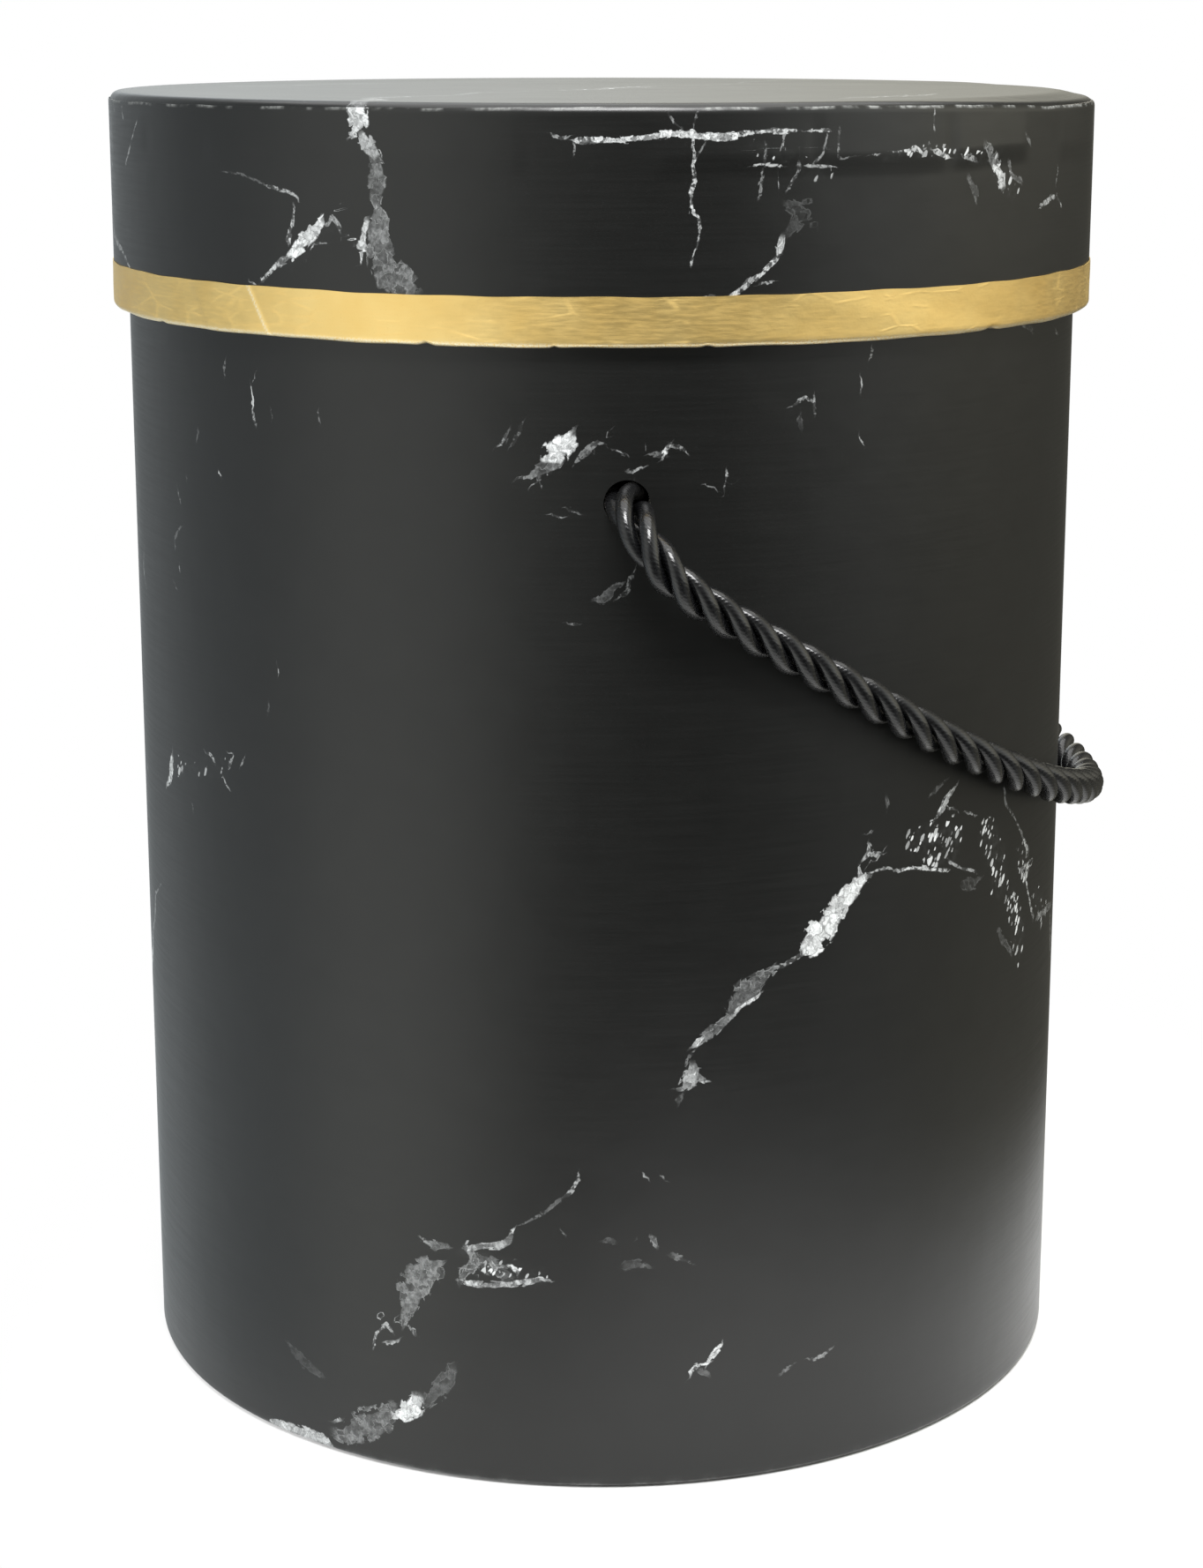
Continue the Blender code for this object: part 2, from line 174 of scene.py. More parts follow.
# The printed veins of the front half. Each is (brightness, [(bearing, height in mm, half-width in
# mm), ...]). The back repeats the same print the other way up. The points on the front were picked by
# eye in the photograph, and a separate program turned them into bearings, heights and half-widths.
BODY_VEINS = [
    # round the front hole
    (1.00, [(-5.9, 194.1, 0.9), (-6.5, 192.6, 2), (-7.6, 191, 2.3), (-7.8, 189.4, 1.8)]),
    (0.62, [(-7.4, 189, 1.3), (-8.6, 188, 1.2), (-9.7, 187.2, 1), (-9.4, 185.9, 0.2)]),
    (0.55, [(-13.6, 192, 0.3), (-13.2, 192.6, 0.4)]),
    (0.22, [(-12.9, 193.2, 0.5), (-12.5, 194.9, 0.4)]),
    (0.28, [(-12.2, 192, 0.3), (-11.5, 194.1, 0.5), (-11.2, 195.5, 0.3)]),
    (0.40, [(-5.4, 189.3, 0.3), (-4.7, 190.6, 0.7), (-3.8, 191.6, 0.7),
            (-3, 192.8, 0.5), (-2.5, 192.4, 0.2)]),
    (0.45, [(-1.2, 191.2, 0.3), (-0.7, 190.8, 0.2), (-0.2, 190.5, 0.2)]),
    (0.60, [(0.4, 187.7, 0.4), (1, 187.6, 0.5), (1.7, 188.4, 0.3)]),
    (0.95, [(4.5, 192.1, 0.4), (4.2, 191.3, 0.7), (3.8, 190.3, 0.4)]),
    (0.45, [(4.7, 192, 0.3), (5.7, 191.8, 0.5), (6.3, 190.7, 0.2)]),
    (0.28, [(3.6, 190.7, 0.6), (2.7, 190.7, 0.5), (2.2, 190.4, 0.2)]),
    (0.50, [(8.6, 185, 0.2), (9.3, 184.7, 0.3)]),
    (0.60, [(10.4, 183.8, 0.2), (10.6, 184.9, 0.2), (10.8, 187.4, 0.2)]),
    (0.35, [(11.1, 185.2, 0.2), (11.4, 185.4, 0.2)]),
    (0.55, [(-8.1, 180.3, 0.2), (-7.7, 180, 0.3), (-6.8, 179.7, 0.2)]),
    (0.40, [(-6.2, 181.1, 0.3), (-5.7, 181, 0.3), (-5.2, 180.6, 0.2)]),
    (0.30, [(-3.1, 165.6, 0.6), (-2.3, 165.8, 0.9), (-1.2, 167.8, 0.7), (-0.6, 168.4, 0.4)]),
    (0.38, [(-0.7, 165.9, 0.4), (0.2, 167.1, 0.4), (0.3, 169.1, 0.4), (0.8, 170.6, 0.2)]),
    (0.35, [(-6, 161.2, 0.3), (-5.6, 161.3, 0.4)]),
    # upper left
    (0.35, [(-49.3, 203.2, 0.2), (-49.6, 201.7, 0.4), (-49.5, 200.6, 0.2)]),
    (0.40, [(-44.1, 201.4, 0.2), (-44.5, 200.1, 0.2)]),
    (0.95, [(-44.9, 199.1, 0.2), (-44.8, 197.9, 0.2), (-44.7, 196.3, 0.4), (-44.7, 195.6, 0.2)]),
    (0.50, [(-44.8, 195.4, 0.2), (-44.5, 192.7, 0.4)]),
    (0.90, [(-41.6, 195, 0.2), (-41.6, 194.6, 0.2)]),
    (0.35, [(-35, 195.6, 0.2), (-34.9, 194.6, 0.2)]),
    (0.90, [(-51.1, 182.8, 0.2), (-50.9, 182.5, 0.2)]),
    (0.22, [(-55.1, 189.5, 0.3), (-55.5, 187.9, 0.4)]),
    (0.35, [(-58.3, 181.4, 0.2), (-58.3, 180.8, 0.2)]),
    (0.35, [(-60.7, 177.8, 0.2), (-60.2, 176.1, 0.4)]),
    (0.25, [(-59.9, 171.4, 0.2), (-61.8, 169, 0.5), (-61.9, 166.7, 0.3)]),
    # middle left
    (0.60, [(-60.9, 163.6, 0.2), (-60.9, 163, 0.2)]),
    (0.30, [(-62.4, 160.1, 0.2), (-62.1, 159.2, 0.3)]),
    (0.85, [(-41.5, 149.1, 0.2), (-41.5, 148.5, 0.2)]),
    (0.20, [(-43.2, 142.7, 0.2), (-43.4, 141.1, 0.3), (-43.6, 140, 0.2)]),
    (1.00, [(-64.9, 126.2, 0.6), (-65.4, 123.7, 1.1), (-65.7, 121.3, 0.8), (-67.1, 119.5, 0.5)]),
    (0.60, [(-55.5, 129.6, 0.2), (-54.4, 129.6, 0.4), (-53.7, 128.7, 0.3)]),
    (0.65, [(-50.7, 130.5, 0.2), (-50.3, 129.7, 0.6), (-50.6, 128.5, 0.3)]),
    (0.45, [(-47.8, 131, 0.2), (-48.5, 129.3, 0.2)]),
    (0.60, [(-51.7, 125.9, 0.2), (-51.4, 124.9, 0.3), (-50.8, 124.3, 0.2)]),
    (0.40, [(-78.8, 119.1, 0.4), (-78, 118.6, 0.4)]),
    (0.25, [(-61.4, 125.1, 0.3), (-62.3, 123.2, 0.4)]),
    (0.35, [(-59.3, 118.1, 0.3), (-59.2, 117.7, 0.3)]),
    # upper right
    (0.60, [(18.2, 198.3, 0.3), (18.8, 198.8, 0.3), (19.4, 199.4, 0.5), (20.1, 198.8, 0.4)]),
    (0.60, [(20.6, 199.1, 0.2), (20.7, 197.6, 0.4), (20.6, 196.8, 0.2)]),
    (0.30, [(18.9, 196.3, 0.5), (18.9, 195.1, 0.7)]),
    (0.60, [(27.8, 206.7, 0.3), (27.5, 205.1, 0.2)]),
    (0.60, [(26.4, 202.1, 0.2), (26.4, 200.2, 0.3)]),
    (0.70, [(26.3, 192.3, 0.2), (26.6, 190.9, 0.2)]),
    (0.35, [(53.2, 208.3, 0.3), (55.7, 207.2, 0.5)]),
    (0.40, [(64, 205.6, 0.4), (65, 205.1, 0.3)]),
    # the long vein, and the broken one under the cord
    (1.00, [(28.3, 112.5, 1), (27, 111.1, 2), (25.9, 109.2, 2.5), (24.7, 107.5, 2.2),
            (23.4, 105.4, 2.8), (22.3, 103.2, 3.3), (21.3, 101.5, 2.5), (20.3, 100.1, 0.6)]),
    (0.75, [(27.5, 112.9, 0.7), (27.2, 114.2, 0.4), (27.4, 114.7, 0.3)]),
    (0.70, [(27.9, 115.7, 0.4), (28.8, 117.4, 0.7), (28.7, 118.1, 0.4)]),
    (0.60, [(28.8, 116.7, 0.4), (29.7, 116.2, 0.6), (30.3, 116.3, 0.3)]),
    (0.45, [(28.5, 120.5, 0.2), (28.9, 120.7, 0.3)]),
    (0.60, [(20.3, 100.1, 0.5), (19.1, 99, 0.5), (17.8, 98, 0.4), (16.4, 97.8, 0.8)]),
    (0.55, [(16.6, 97.8, 0.8), (15.4, 96.5, 1.6), (14.2, 95, 2.2),
            (13, 93, 2.6), (12.1, 91.5, 1.7), (11.8, 90, 0.9)]),
    (0.85, [(14.9, 93, 0.6), (14, 92.4, 0.6), (12.8, 91.1, 0.4), (12.1, 89.8, 0.6)]),
    (0.60, [(11.8, 89.8, 0.7), (10.7, 88.3, 0.9), (9.9, 87.2, 1.3), (8.8, 86.1, 1), (7.8, 84.8, 0.6)]),
    (0.95, [(8.4, 86.1, 0.6), (7.7, 84.8, 0.7)]),
    (0.35, [(7.6, 83.8, 0.3), (6.7, 82, 0.3), (6.6, 81, 0.4)]),
    (0.75, [(7.5, 80.7, 1.4), (7.3, 79.2, 2), (6.8, 78, 1.5), (5.9, 77.4, 0.4)]),
    (0.85, [(7.8, 79.4, 0.5), (8.6, 78.1, 0.7), (9, 77.8, 0.4)]),
    (0.20, [(6.2, 75.7, 0.5), (5.8, 74.3, 0.7)]),
    (0.60, [(29.1, 113, 0.2), (31, 113.5, 0.3), (32.1, 112.9, 0.2)]),
    (0.85, [(32.9, 112.4, 0.4), (34.4, 112.6, 0.4), (36.4, 112, 0.5),
            (38.3, 111.2, 0.4), (40.8, 110.3, 0.5)]),
    (0.50, [(41, 111.9, 0.3), (43.6, 109.5, 0.3), (46.2, 108.2, 0.3)]),
    (0.50, [(52.1, 122.1, 0.3), (52.6, 119.2, 0.4), (55.1, 115.3, 0.3), (57.5, 111.3, 0.4)]),
    (0.90, [(58, 110.4, 0.5), (58.9, 108.5, 0.7), (59.5, 106.5, 0.3)]),
    (0.85, [(56.8, 104.7, 0.4), (59.6, 104.7, 0.6), (59, 102.3, 0.6)]),
    (0.75, [(59, 102.3, 0.4), (60.4, 97.6, 0.3), (62.2, 93, 0.6)]),
    (0.60, [(63.9, 91.9, 0.6), (67.9, 91.7, 0.9), (73.2, 90.9, 0.8)]),
    (0.60, [(72.8, 88.4, 0.7), (74, 84.1, 0.6), (74.7, 77.8, 0.4)]),
    (1.00, [(41.9, 125.9, 0.4), (40.7, 124.4, 0.9), (39.7, 122.5, 0.8), (38.7, 120.8, 0.4)]),
    (0.70, [(40.7, 122, 0.4), (41.7, 121.7, 0.4), (42.2, 121.2, 0.2)]),
    (0.35, [(40.2, 127.5, 0.5), (38.9, 126.6, 0.5), (38, 125.4, 0.6)]),
    (0.55, [(43.8, 120.3, 0.2), (45.9, 119.1, 0.4)]),
    (0.25, [(44, 106.4, 1.2), (46, 106, 1.4), (47.3, 106.8, 0.5)]),
    (0.30, [(51.9, 94.5, 0.7), (52.9, 92.3, 1), (55.3, 88.7, 0.6)]),
    (0.25, [(31.1, 126.2, 0.5), (31.1, 125, 0.4)]),
    # low on the left
    (0.62, [(-21.1, 42, 0.8), (-22.5, 40.6, 2.6), (-23.7, 38.5, 3.5), (-24.5, 36.7, 3.3),
            (-25.2, 33.7, 2.4), (-25.5, 30.8, 1.6), (-25.9, 28.7, 0.8)]),
    (0.55, [(-25.5, 29, 0.3), (-24.6, 27.7, 0.5)]),
    (0.75, [(-18, 45.3, 0.7), (-16.3, 46.1, 0.7), (-14.5, 46.5, 0.8),
            (-13.2, 47.7, 0.7), (-12.7, 49.8, 0.4)]),
    (0.60, [(-18, 45.4, 0.8), (-16.9, 43.1, 1), (-18.5, 40.6, 1), (-18.8, 39, 0.6)]),
    (0.35, [(-17.2, 43.9, 1.4), (-15.8, 43, 1.7), (-14.2, 41.6, 1.7), (-13.2, 40.6, 1.4)]),
    (0.80, [(-18.9, 38.8, 0.4), (-16.9, 38.7, 0.7), (-14.8, 39, 0.7),
            (-12.9, 39.2, 0.7), (-10.6, 40.3, 0.7), (-8.9, 40.7, 0.4)]),
    (0.85, [(-13, 42.8, 0.4), (-12.4, 41.9, 0.6)]),
    (0.60, [(-15.3, 43.1, 0.4), (-14.7, 41.5, 0.6), (-14.2, 42.4, 0.3)]),
    (0.55, [(-23.4, 46, 0.4), (-22, 45.3, 1), (-20.6, 45.5, 0.7)]),
    (0.70, [(-29.9, 23.7, 0.5), (-29.5, 26.1, 0.5), (-28.1, 28.1, 0.5), (-27.5, 26.9, 0.3)]),
    (0.75, [(-28.1, 24.5, 0.5), (-27.4, 24.7, 0.7), (-26.8, 25.4, 0.4)]),
    (0.25, [(-11.7, 51, 0.3), (-9.2, 53.4, 0.4), (-7.3, 56, 0.4)]),
    (0.60, [(-6.8, 56.5, 0.4), (-6, 58, 0.5), (-5.4, 59.6, 0.5), (-5.2, 60.5, 0.3)]),
    (0.55, [(1.9, 60.5, 0.3), (2.2, 60.1, 0.3)]),
    (0.45, [(4.1, 60.5, 0.2), (4.4, 60, 0.2)]),
    (0.50, [(3.1, 48.7, 0.7), (3.2, 47.4, 0.7)]),
    (0.30, [(5.3, 45, 0.7), (6.3, 44.2, 0.6), (7.4, 43.5, 0.3)]),
    (0.20, [(-0.1, 43.4, 0.9), (1.4, 43.8, 0.8), (2.7, 43.2, 0.4)]),
    (0.45, [(-7, 49.9, 0.2), (-6.8, 49.4, 0.2)]),
    (0.22, [(-2.5, 48.3, 0.6), (-1.5, 48.3, 0.7)]),
    # low on the right
    (0.95, [(7.3, 21.7, 0.3), (7.5, 22.8, 0.6), (8.4, 23.5, 0.4), (9.4, 23.7, 0.5)]),
    (0.95, [(9.4, 23.7, 0.5), (9.9, 25, 0.8), (10.7, 26.5, 0.7), (11, 27.2, 0.3)]),
    (0.30, [(8.6, 22.3, 0.8), (9.3, 21.6, 0.6)]),
    (0.32, [(18.4, 19.9, 0.5), (19.5, 20.9, 0.4)]),
    (0.42, [(22.1, 21.4, 0.4), (23.8, 21.5, 0.5), (24.8, 22.9, 0.3)]),
    (0.35, [(-19.9, 21.6, 1.2), (-20.7, 19, 1.9), (-22.1, 16.4, 1.7), (-23.2, 14, 1.1)]),
    (1.00, [(-24.4, 14.7, 1.6), (-24.9, 12.8, 2.3), (-26, 11, 1.5), (-27.7, 9.9, 0.8)]),
    (0.62, [(-27.3, 11.5, 2), (-28.9, 9, 3), (-30.7, 7.2, 3.4),
            (-32.5, 5.3, 2.8), (-33.9, 3.4, 1.6), (-35.4, 3.5, 1.3)]),
    (0.85, [(-34.9, 6.7, 0.6), (-35.5, 6.1, 0.5)]),
    (0.90, [(-46.1, 0.7, 0.6), (-43.6, 1.3, 1.1), (-41.9, 1.1, 1.4),
            (-39.5, 1.1, 1.7), (-37.5, 1.5, 1.5), (-36.2, 0.6, 0.5)]),
    (0.20, [(-42.7, 18.9, 0.5), (-40.4, 16.2, 1.6), (-37.4, 14.5, 0.6)]),
    # the sides
    (0.90, [(-92, 178, 0.4), (-94, 174, 1.6), (-97, 171, 1.9), (-100, 167, 1), (-101, 163, 0.3)]),
    (0.55, [(-101, 163, 0.3), (-104, 158, 0.8), (-105, 153, 0.4), (-109, 149, 0.2)]),
    (0.60, [(-88, 60, 0.2), (-91, 56, 0.7), (-95, 55, 1.2), (-98, 51, 0.5), (-100, 46, 0.2)]),
    (0.40, [(-106, 92, 0.2), (-104, 88, 0.5), (-105, 84, 0.2)]),
    (0.85, [(88, 152, 0.3), (91, 148, 1.3), (93, 143, 1.6), (92, 138, 0.7), (94, 134, 0.2)]),
    (0.50, [(94, 134, 0.3), (97, 129, 0.7), (96, 124, 0.3)]),
    (0.45, [(84, 40, 0.2), (88, 37, 0.8), (91, 33, 0.4)]),
]
# Loose specks: (density, [(bearing, height in mm, reach in mm), ...]).
BODY_SPECKS = [
    (1.00, [(36, 117, 4), (38.5, 116.5, 4.4), (41.5, 116, 4)]),
    (0.70, [(38, 113, 2.6), (42, 112.5, 2.6)]),
    (1.00, [(48.5, 115, 3.8), (50.5, 110, 4.4), (52, 104, 3.8)]),
    (0.90, [(57, 108, 2.4), (59, 103, 2.8)]),
    (1.00, [(55, 99, 3.2), (57, 93, 4), (58, 88, 2.6)]),
    (0.60, [(63, 97, 2.8), (68, 91, 3)]),
    (0.55, [(-18, 45, 2.4), (-14, 42, 3.2), (-10, 41, 2.6)]),
    (0.35, [(-66, 123, 2.4), (-52, 128, 3)]),
]
LID_VEINS = [
    # left half
    (0.95, [(-28.4, 249.3, 2.1), (-28, 246.3, 1.9), (-29, 243.9, 0.8)]),
    (0.78, [(-27.7, 244.1, 1.1), (-27, 242.2, 1.7), (-26.1, 240.4, 1.1)]),
    (0.50, [(-26.4, 240.3, 1.1), (-26.1, 238, 1.8), (-25.9, 235.8, 2),
            (-26.4, 233.6, 1.3), (-26.1, 232.2, 0.9)]),
    (0.65, [(-26, 232.2, 0.7), (-25.7, 230.2, 1.5), (-26.3, 228.2, 2.1), (-25.7, 225.4, 2.6)]),
    (0.90, [(-27.2, 229.6, 0.8), (-27.7, 227.6, 0.8), (-28, 225.6, 1), (-27.3, 225.1, 0.5)]),
    (0.55, [(-25.7, 225.4, 2.5), (-25.5, 222.6, 2.5), (-24.5, 220.3, 3.3), (-23.1, 217.9, 3.6)]),
    (0.22, [(-46.4, 236.9, 0.2), (-43.8, 236.7, 0.2), (-40.1, 235.2, 0.3)]),
    (0.60, [(-39.9, 234.9, 0.4), (-38, 234.3, 0.3), (-36.2, 233.8, 0.3), (-35.7, 233.1, 0.2)]),
    (0.80, [(-36.3, 231.4, 0.3), (-36.7, 228.2, 0.5), (-37.2, 226, 0.5)]),
    (1.00, [(-32.9, 229.5, 0.8), (-33.9, 227.5, 1.5), (-35.6, 225.3, 1.3), (-37.2, 223.1, 0.8)]),
    (0.75, [(-37.2, 223.1, 0.7), (-39.4, 220.8, 0.5), (-41, 218.7, 0.4)]),
    (0.55, [(-42.5, 218.2, 0.3), (-42.1, 217.9, 0.3)]),
    (0.50, [(-32.1, 228.8, 0.5), (-31.4, 230.1, 0.5), (-30.6, 228.3, 0.4)]),
    (0.45, [(-34.5, 225.4, 0.3), (-32, 225.8, 0.2)]),
    (0.60, [(-70.8, 247.6, 0.2), (-70.3, 245.4, 0.2)]),
    (0.40, [(-75.7, 248.3, 0.2), (-75, 246.2, 0.2)]),
    (0.50, [(-65.1, 244.7, 0.2), (-67.2, 240.8, 0.2), (-69.7, 237, 0.4)]),
    (0.60, [(-81.3, 237.9, 0.2), (-78.6, 235.8, 0.3)]),
    (0.55, [(-7.6, 244.1, 0.4), (-6.9, 243.6, 0.3), (-6.1, 243.9, 0.3)]),
    (0.45, [(-5.4, 242.6, 0.2), (-5.4, 241.2, 0.2)]),
    (0.90, [(-5.5, 243.4, 0.4), (-4.8, 243.3, 0.6), (-2.7, 243.4, 0.5), (-1, 243.3, 0.4)]),
    # right half
    (0.80, [(-4.6, 243.6, 0.3), (-2.5, 243.6, 0.4), (-1.7, 243.5, 0.2)]),
    (1.00, [(-1.6, 243.4, 0.4), (-0.5, 243.4, 0.7), (1.6, 244, 0.6), (3.7, 244.5, 0.8),
            (5.7, 244.5, 0.8), (7.7, 244, 0.7), (9.9, 243.9, 0.7), (12.1, 244.6, 0.4)]),
    (0.90, [(12.1, 244.6, 0.4), (15, 244.9, 0.6), (17.4, 244.9, 0.4)]),
    (0.80, [(18.3, 244.7, 0.3), (19.9, 244.9, 0.5), (21, 244.8, 0.3)]),
    (0.40, [(6.8, 248.1, 0.2), (6.5, 245.7, 0.2)]),
    (0.80, [(6.4, 244, 0.2), (6.4, 242.6, 0.2), (6.6, 240.9, 0.4),
            (6.4, 239.2, 0.3), (6.7, 236.7, 0.4), (6.3, 234.8, 0.5)]),
    (0.85, [(6.4, 233.3, 0.3), (6.5, 231.4, 0.5), (7.2, 230.5, 0.2), (7.3, 229.1, 0.3)]),
    (0.65, [(7.3, 229.1, 0.2), (7.1, 226.8, 0.2), (6.4, 223.2, 0.2)]),
    (0.50, [(4, 247.9, 0.2), (4.6, 246.4, 0.3), (5.4, 245.4, 0.2)]),
    (0.40, [(6.7, 240.3, 0.2), (7.6, 242.6, 0.2)]),
    (0.50, [(16.1, 244.5, 0.3), (15.6, 241.7, 0.2)]),
    (0.38, [(14.1, 242.5, 0.2), (13.7, 237.7, 0.3), (13.4, 234.2, 0.4)]),
    (0.45, [(20.7, 243.8, 0.2), (20.1, 240.5, 0.2), (19.1, 239.1, 0.3)]),
    (0.60, [(18.3, 239, 0.3), (19.9, 238.9, 0.3), (21.8, 238.7, 0.2)]),
    (0.70, [(12.5, 239.1, 0.2), (14.3, 239.3, 0.3), (15.7, 239.1, 0.2)]),
    (0.50, [(17.7, 239, 0.4), (17.5, 237.7, 0.3), (16.6, 235.4, 0.3)]),
    (0.35, [(22.1, 244.8, 0.2), (22, 239.8, 0.2), (24.1, 240.4, 0.2)]),
    (0.65, [(25.9, 240.4, 0.3), (26.7, 240.6, 0.3)]),
    (0.85, [(28.6, 241, 0.3), (29.6, 241.1, 0.3), (31.4, 241.4, 0.5), (32.2, 240.7, 0.3)]),
    (0.90, [(34.1, 240.8, 0.5), (35.2, 240.2, 0.6), (36.3, 239.8, 0.4)]),
    (0.65, [(38.4, 239.8, 0.4), (39.6, 239.4, 0.6), (40.7, 238.8, 0.5)]),
    (0.55, [(34.1, 248, 0.2), (34, 244.7, 0.2)]),
    (0.60, [(42.1, 241.3, 1.1), (43.3, 238.9, 1.5), (44.1, 237.5, 1.3)]),
    (1.00, [(43.5, 237.8, 0.8), (44.6, 236.2, 1.4), (45.1, 234.2, 0.8)]),
    (0.40, [(46.2, 238, 0.6), (46.8, 236.2, 0.7), (48.6, 234.8, 0.6)]),
    (0.28, [(39.4, 236, 0.7), (40.4, 234.2, 0.8), (40.7, 232, 0.5)]),
    (0.65, [(57.6, 236.5, 0.2), (57.1, 233.5, 0.2)]),
    (0.70, [(53.3, 230.1, 0.4), (55.3, 231.2, 0.6), (57, 231.6, 0.4)]),
    (0.75, [(57.6, 231.4, 0.4), (58.9, 229.8, 0.3)]),
    (0.35, [(49.4, 242.6, 0.5), (50.3, 241.6, 0.4)]),
    (0.85, [(15.8, 227, 0.8), (15.7, 225.7, 0.9), (15.6, 224.6, 0.5)]),
    (0.80, [(15.5, 224, 0.5), (14.6, 222.6, 0.5), (13.7, 221.1, 0.5),
            (12.6, 220.1, 0.6), (11.6, 218.6, 0.5), (10.4, 217.6, 0.3)]),
    (0.65, [(14.8, 219.9, 0.3), (13.5, 219.5, 0.3)]),
    (0.80, [(8.2, 217.7, 0.4), (9.1, 217.6, 0.3)]),
    (0.20, [(16.6, 232.5, 1.1), (18.1, 231, 1.3), (16.6, 228, 1.1)]),
    # the sides
    (0.95, [(-86, 216, 1), (-89, 222, 2.2), (-94, 226, 1.6), (-98, 231, 0.5)]),
    (0.60, [(-98, 231, 0.4), (-101, 236, 0.9), (-107, 238, 0.5), (-112, 242, 0.2)]),
    (0.85, [(80, 247, 0.3), (84, 243, 0.8), (90, 242, 1.1), (95, 238, 0.4)]),
    (0.50, [(95, 238, 0.3), (98, 231, 0.6), (102, 226, 0.2)]),
]
LID_SPECKS = [
    (0.30, [(-32, 229, 2.4), (-37, 222, 2)]),
    (0.60, [(28, 240, 1.2), (33, 241, 1.6), (43, 239, 2)]),
    (0.55, [(43, 240, 2.6), (47, 233, 2.6)]),
    (0.30, [(13, 242, 2), (20, 238, 3)]),
]
# The lid's top disc: (brightness, [(x, y, half-width), ...]), all in mm.
TOP_VEINS = [
    (0.55, [(-45, -83, 1.8), (-42, -70, 2.4), (-44, -56, 1.4), (-37, -42, 0.5)]),
    (0.45, [(-37, -42, 0.5), (-28, -30, 1), (-24, -12, 0.6), (-10, 0, 0.3)]),
    (0.50, [(-8, 4, 0.4), (1, 12, 1.8), (4, 24, 1.4), (14, 32, 0.4)]),
    (0.40, [(15, 34, 0.3), (28, 45, 0.7), (33, 60, 0.4), (47, 76, 0.2)]),
    (0.45, [(39, -62, 0.4), (44, -54, 1.3), (56, -44, 1), (61, -30, 0.3)]),
    (0.40, [(-74, 30, 0.4), (-62, 36, 1.4), (-54, 48, 0.9), (-41, 54, 0.2)]),
    (0.35, [(-20, 22, 0.2), (-2, 18, 0.5), (20, 22, 0.4), (40, 12, 0.2)]),
]
TOP_SPECKS = [
    (0.35, [(-42, -66, 4), (-38, -45, 4)]),
    (0.35, [(-2, 8, 4), (10, 28, 4)]),
    (0.30, [(44, -56, 3.5), (60, -34, 3.5)]),
]

VEIN_LAYERS = ("veins_1", "veins_2", "veins_3", "veins_4")
VEIN_CLEARANCE = 5.0  # mm between veins of one layer
VEIN_REACH = 12.0  # mm over which a vein's distance is kept
SPECK_REACH = 6.0


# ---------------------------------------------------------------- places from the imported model

body_low, body_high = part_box("body_wrap")
band_low, band_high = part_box("gold_band")
knot_low, knot_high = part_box("front_knot")

BODY_RADIUS = body_high.x
BODY_TOP = body_high.z
LID_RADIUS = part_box("lid_rim_wrap")[1].x
LID_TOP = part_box("lid_top_paper")[1].z
LID_BOTTOM = band_low.z
HOLE_HEIGHT = (knot_low.z + knot_high.z) / 2


# ---------------------------------------------------------------- shader building

class Nodes:
    """Short calls that build a node tree. Every call but node and feed returns an output socket."""

    def __init__(self, tree):
        self.tree = tree

    def node(self, kind, inputs=(), **settings):
        made = self.tree.nodes.new("ShaderNode" + kind)
        for key, value in settings.items():
            setattr(made, key, value)
        for key, value in dict(inputs).items():
            self.feed(made.inputs[key], value)
        return made

    def feed(self, socket, value):
        if isinstance(value, bpy.types.NodeSocket):
            self.tree.links.new(value, socket)
        else:
            socket.default_value = value

    def math(self, operation, a, b=0.0, c=0.0):
        return self.node("Math", {0: a, 1: b, 2: c}, operation=operation).outputs[0]

    def vector_math(self, operation, a, b):
        return self.node("VectorMath", {0: a, 1: b}, operation=operation).outputs[0]

    def times(self, a, b):
        return self.math("MULTIPLY", a, b)

    def plus(self, a, b):
        return self.math("ADD", a, b)

    def most(self, a, b):
        return self.math("MAXIMUM", a, b)

    def remap(self, value, low, high, out_low=0.0, out_high=1.0):
        inputs = {"Value": value, "From Min": low, "From Max": high, "To Min": out_low, "To Max": out_high}
        return self.node("MapRange", inputs, interpolation_type="SMOOTHSTEP").outputs[0]

    def centred(self, value, reach):
        """A 0 to 1 value spread over -reach to reach."""
        return self.times(self.plus(value, -0.5), self.times(reach, 2.0))

    def blend(self, factor, a, b):
        made = self.node("Mix", {0: factor}, data_type="RGBA")
        for socket, value in ((made.inputs[6], a), (made.inputs[7], b)):
            self.feed(socket, value if isinstance(value, bpy.types.NodeSocket) else (*value, 1.0))
        return made.outputs[2]

    def scaled(self, vector, factors):
        return self.vector_math("MULTIPLY", vector, factors)

    def noise(self, place, size, detail=2.0, roughness=0.5, shift=0.0):
        """Cloudy noise with features of about the given size, in the place's own units."""
        moved = self.vector_math("ADD", place, (shift, shift * 0.7, shift * 1.3))
        inputs = {"Vector": moved, "Scale": 1.0 / size, "Detail": detail, "Roughness": roughness}
        return self.node("TexNoise", inputs).outputs[0]

    def cell_edges(self, place, size):
        inputs = {"Vector": place, "Scale": 1.0 / size}
        return self.node("TexVoronoi", inputs, feature="DISTANCE_TO_EDGE").outputs["Distance"]

    def parts(self, vector):
        return self.node("SeparateXYZ", {"Vector": vector}).outputs


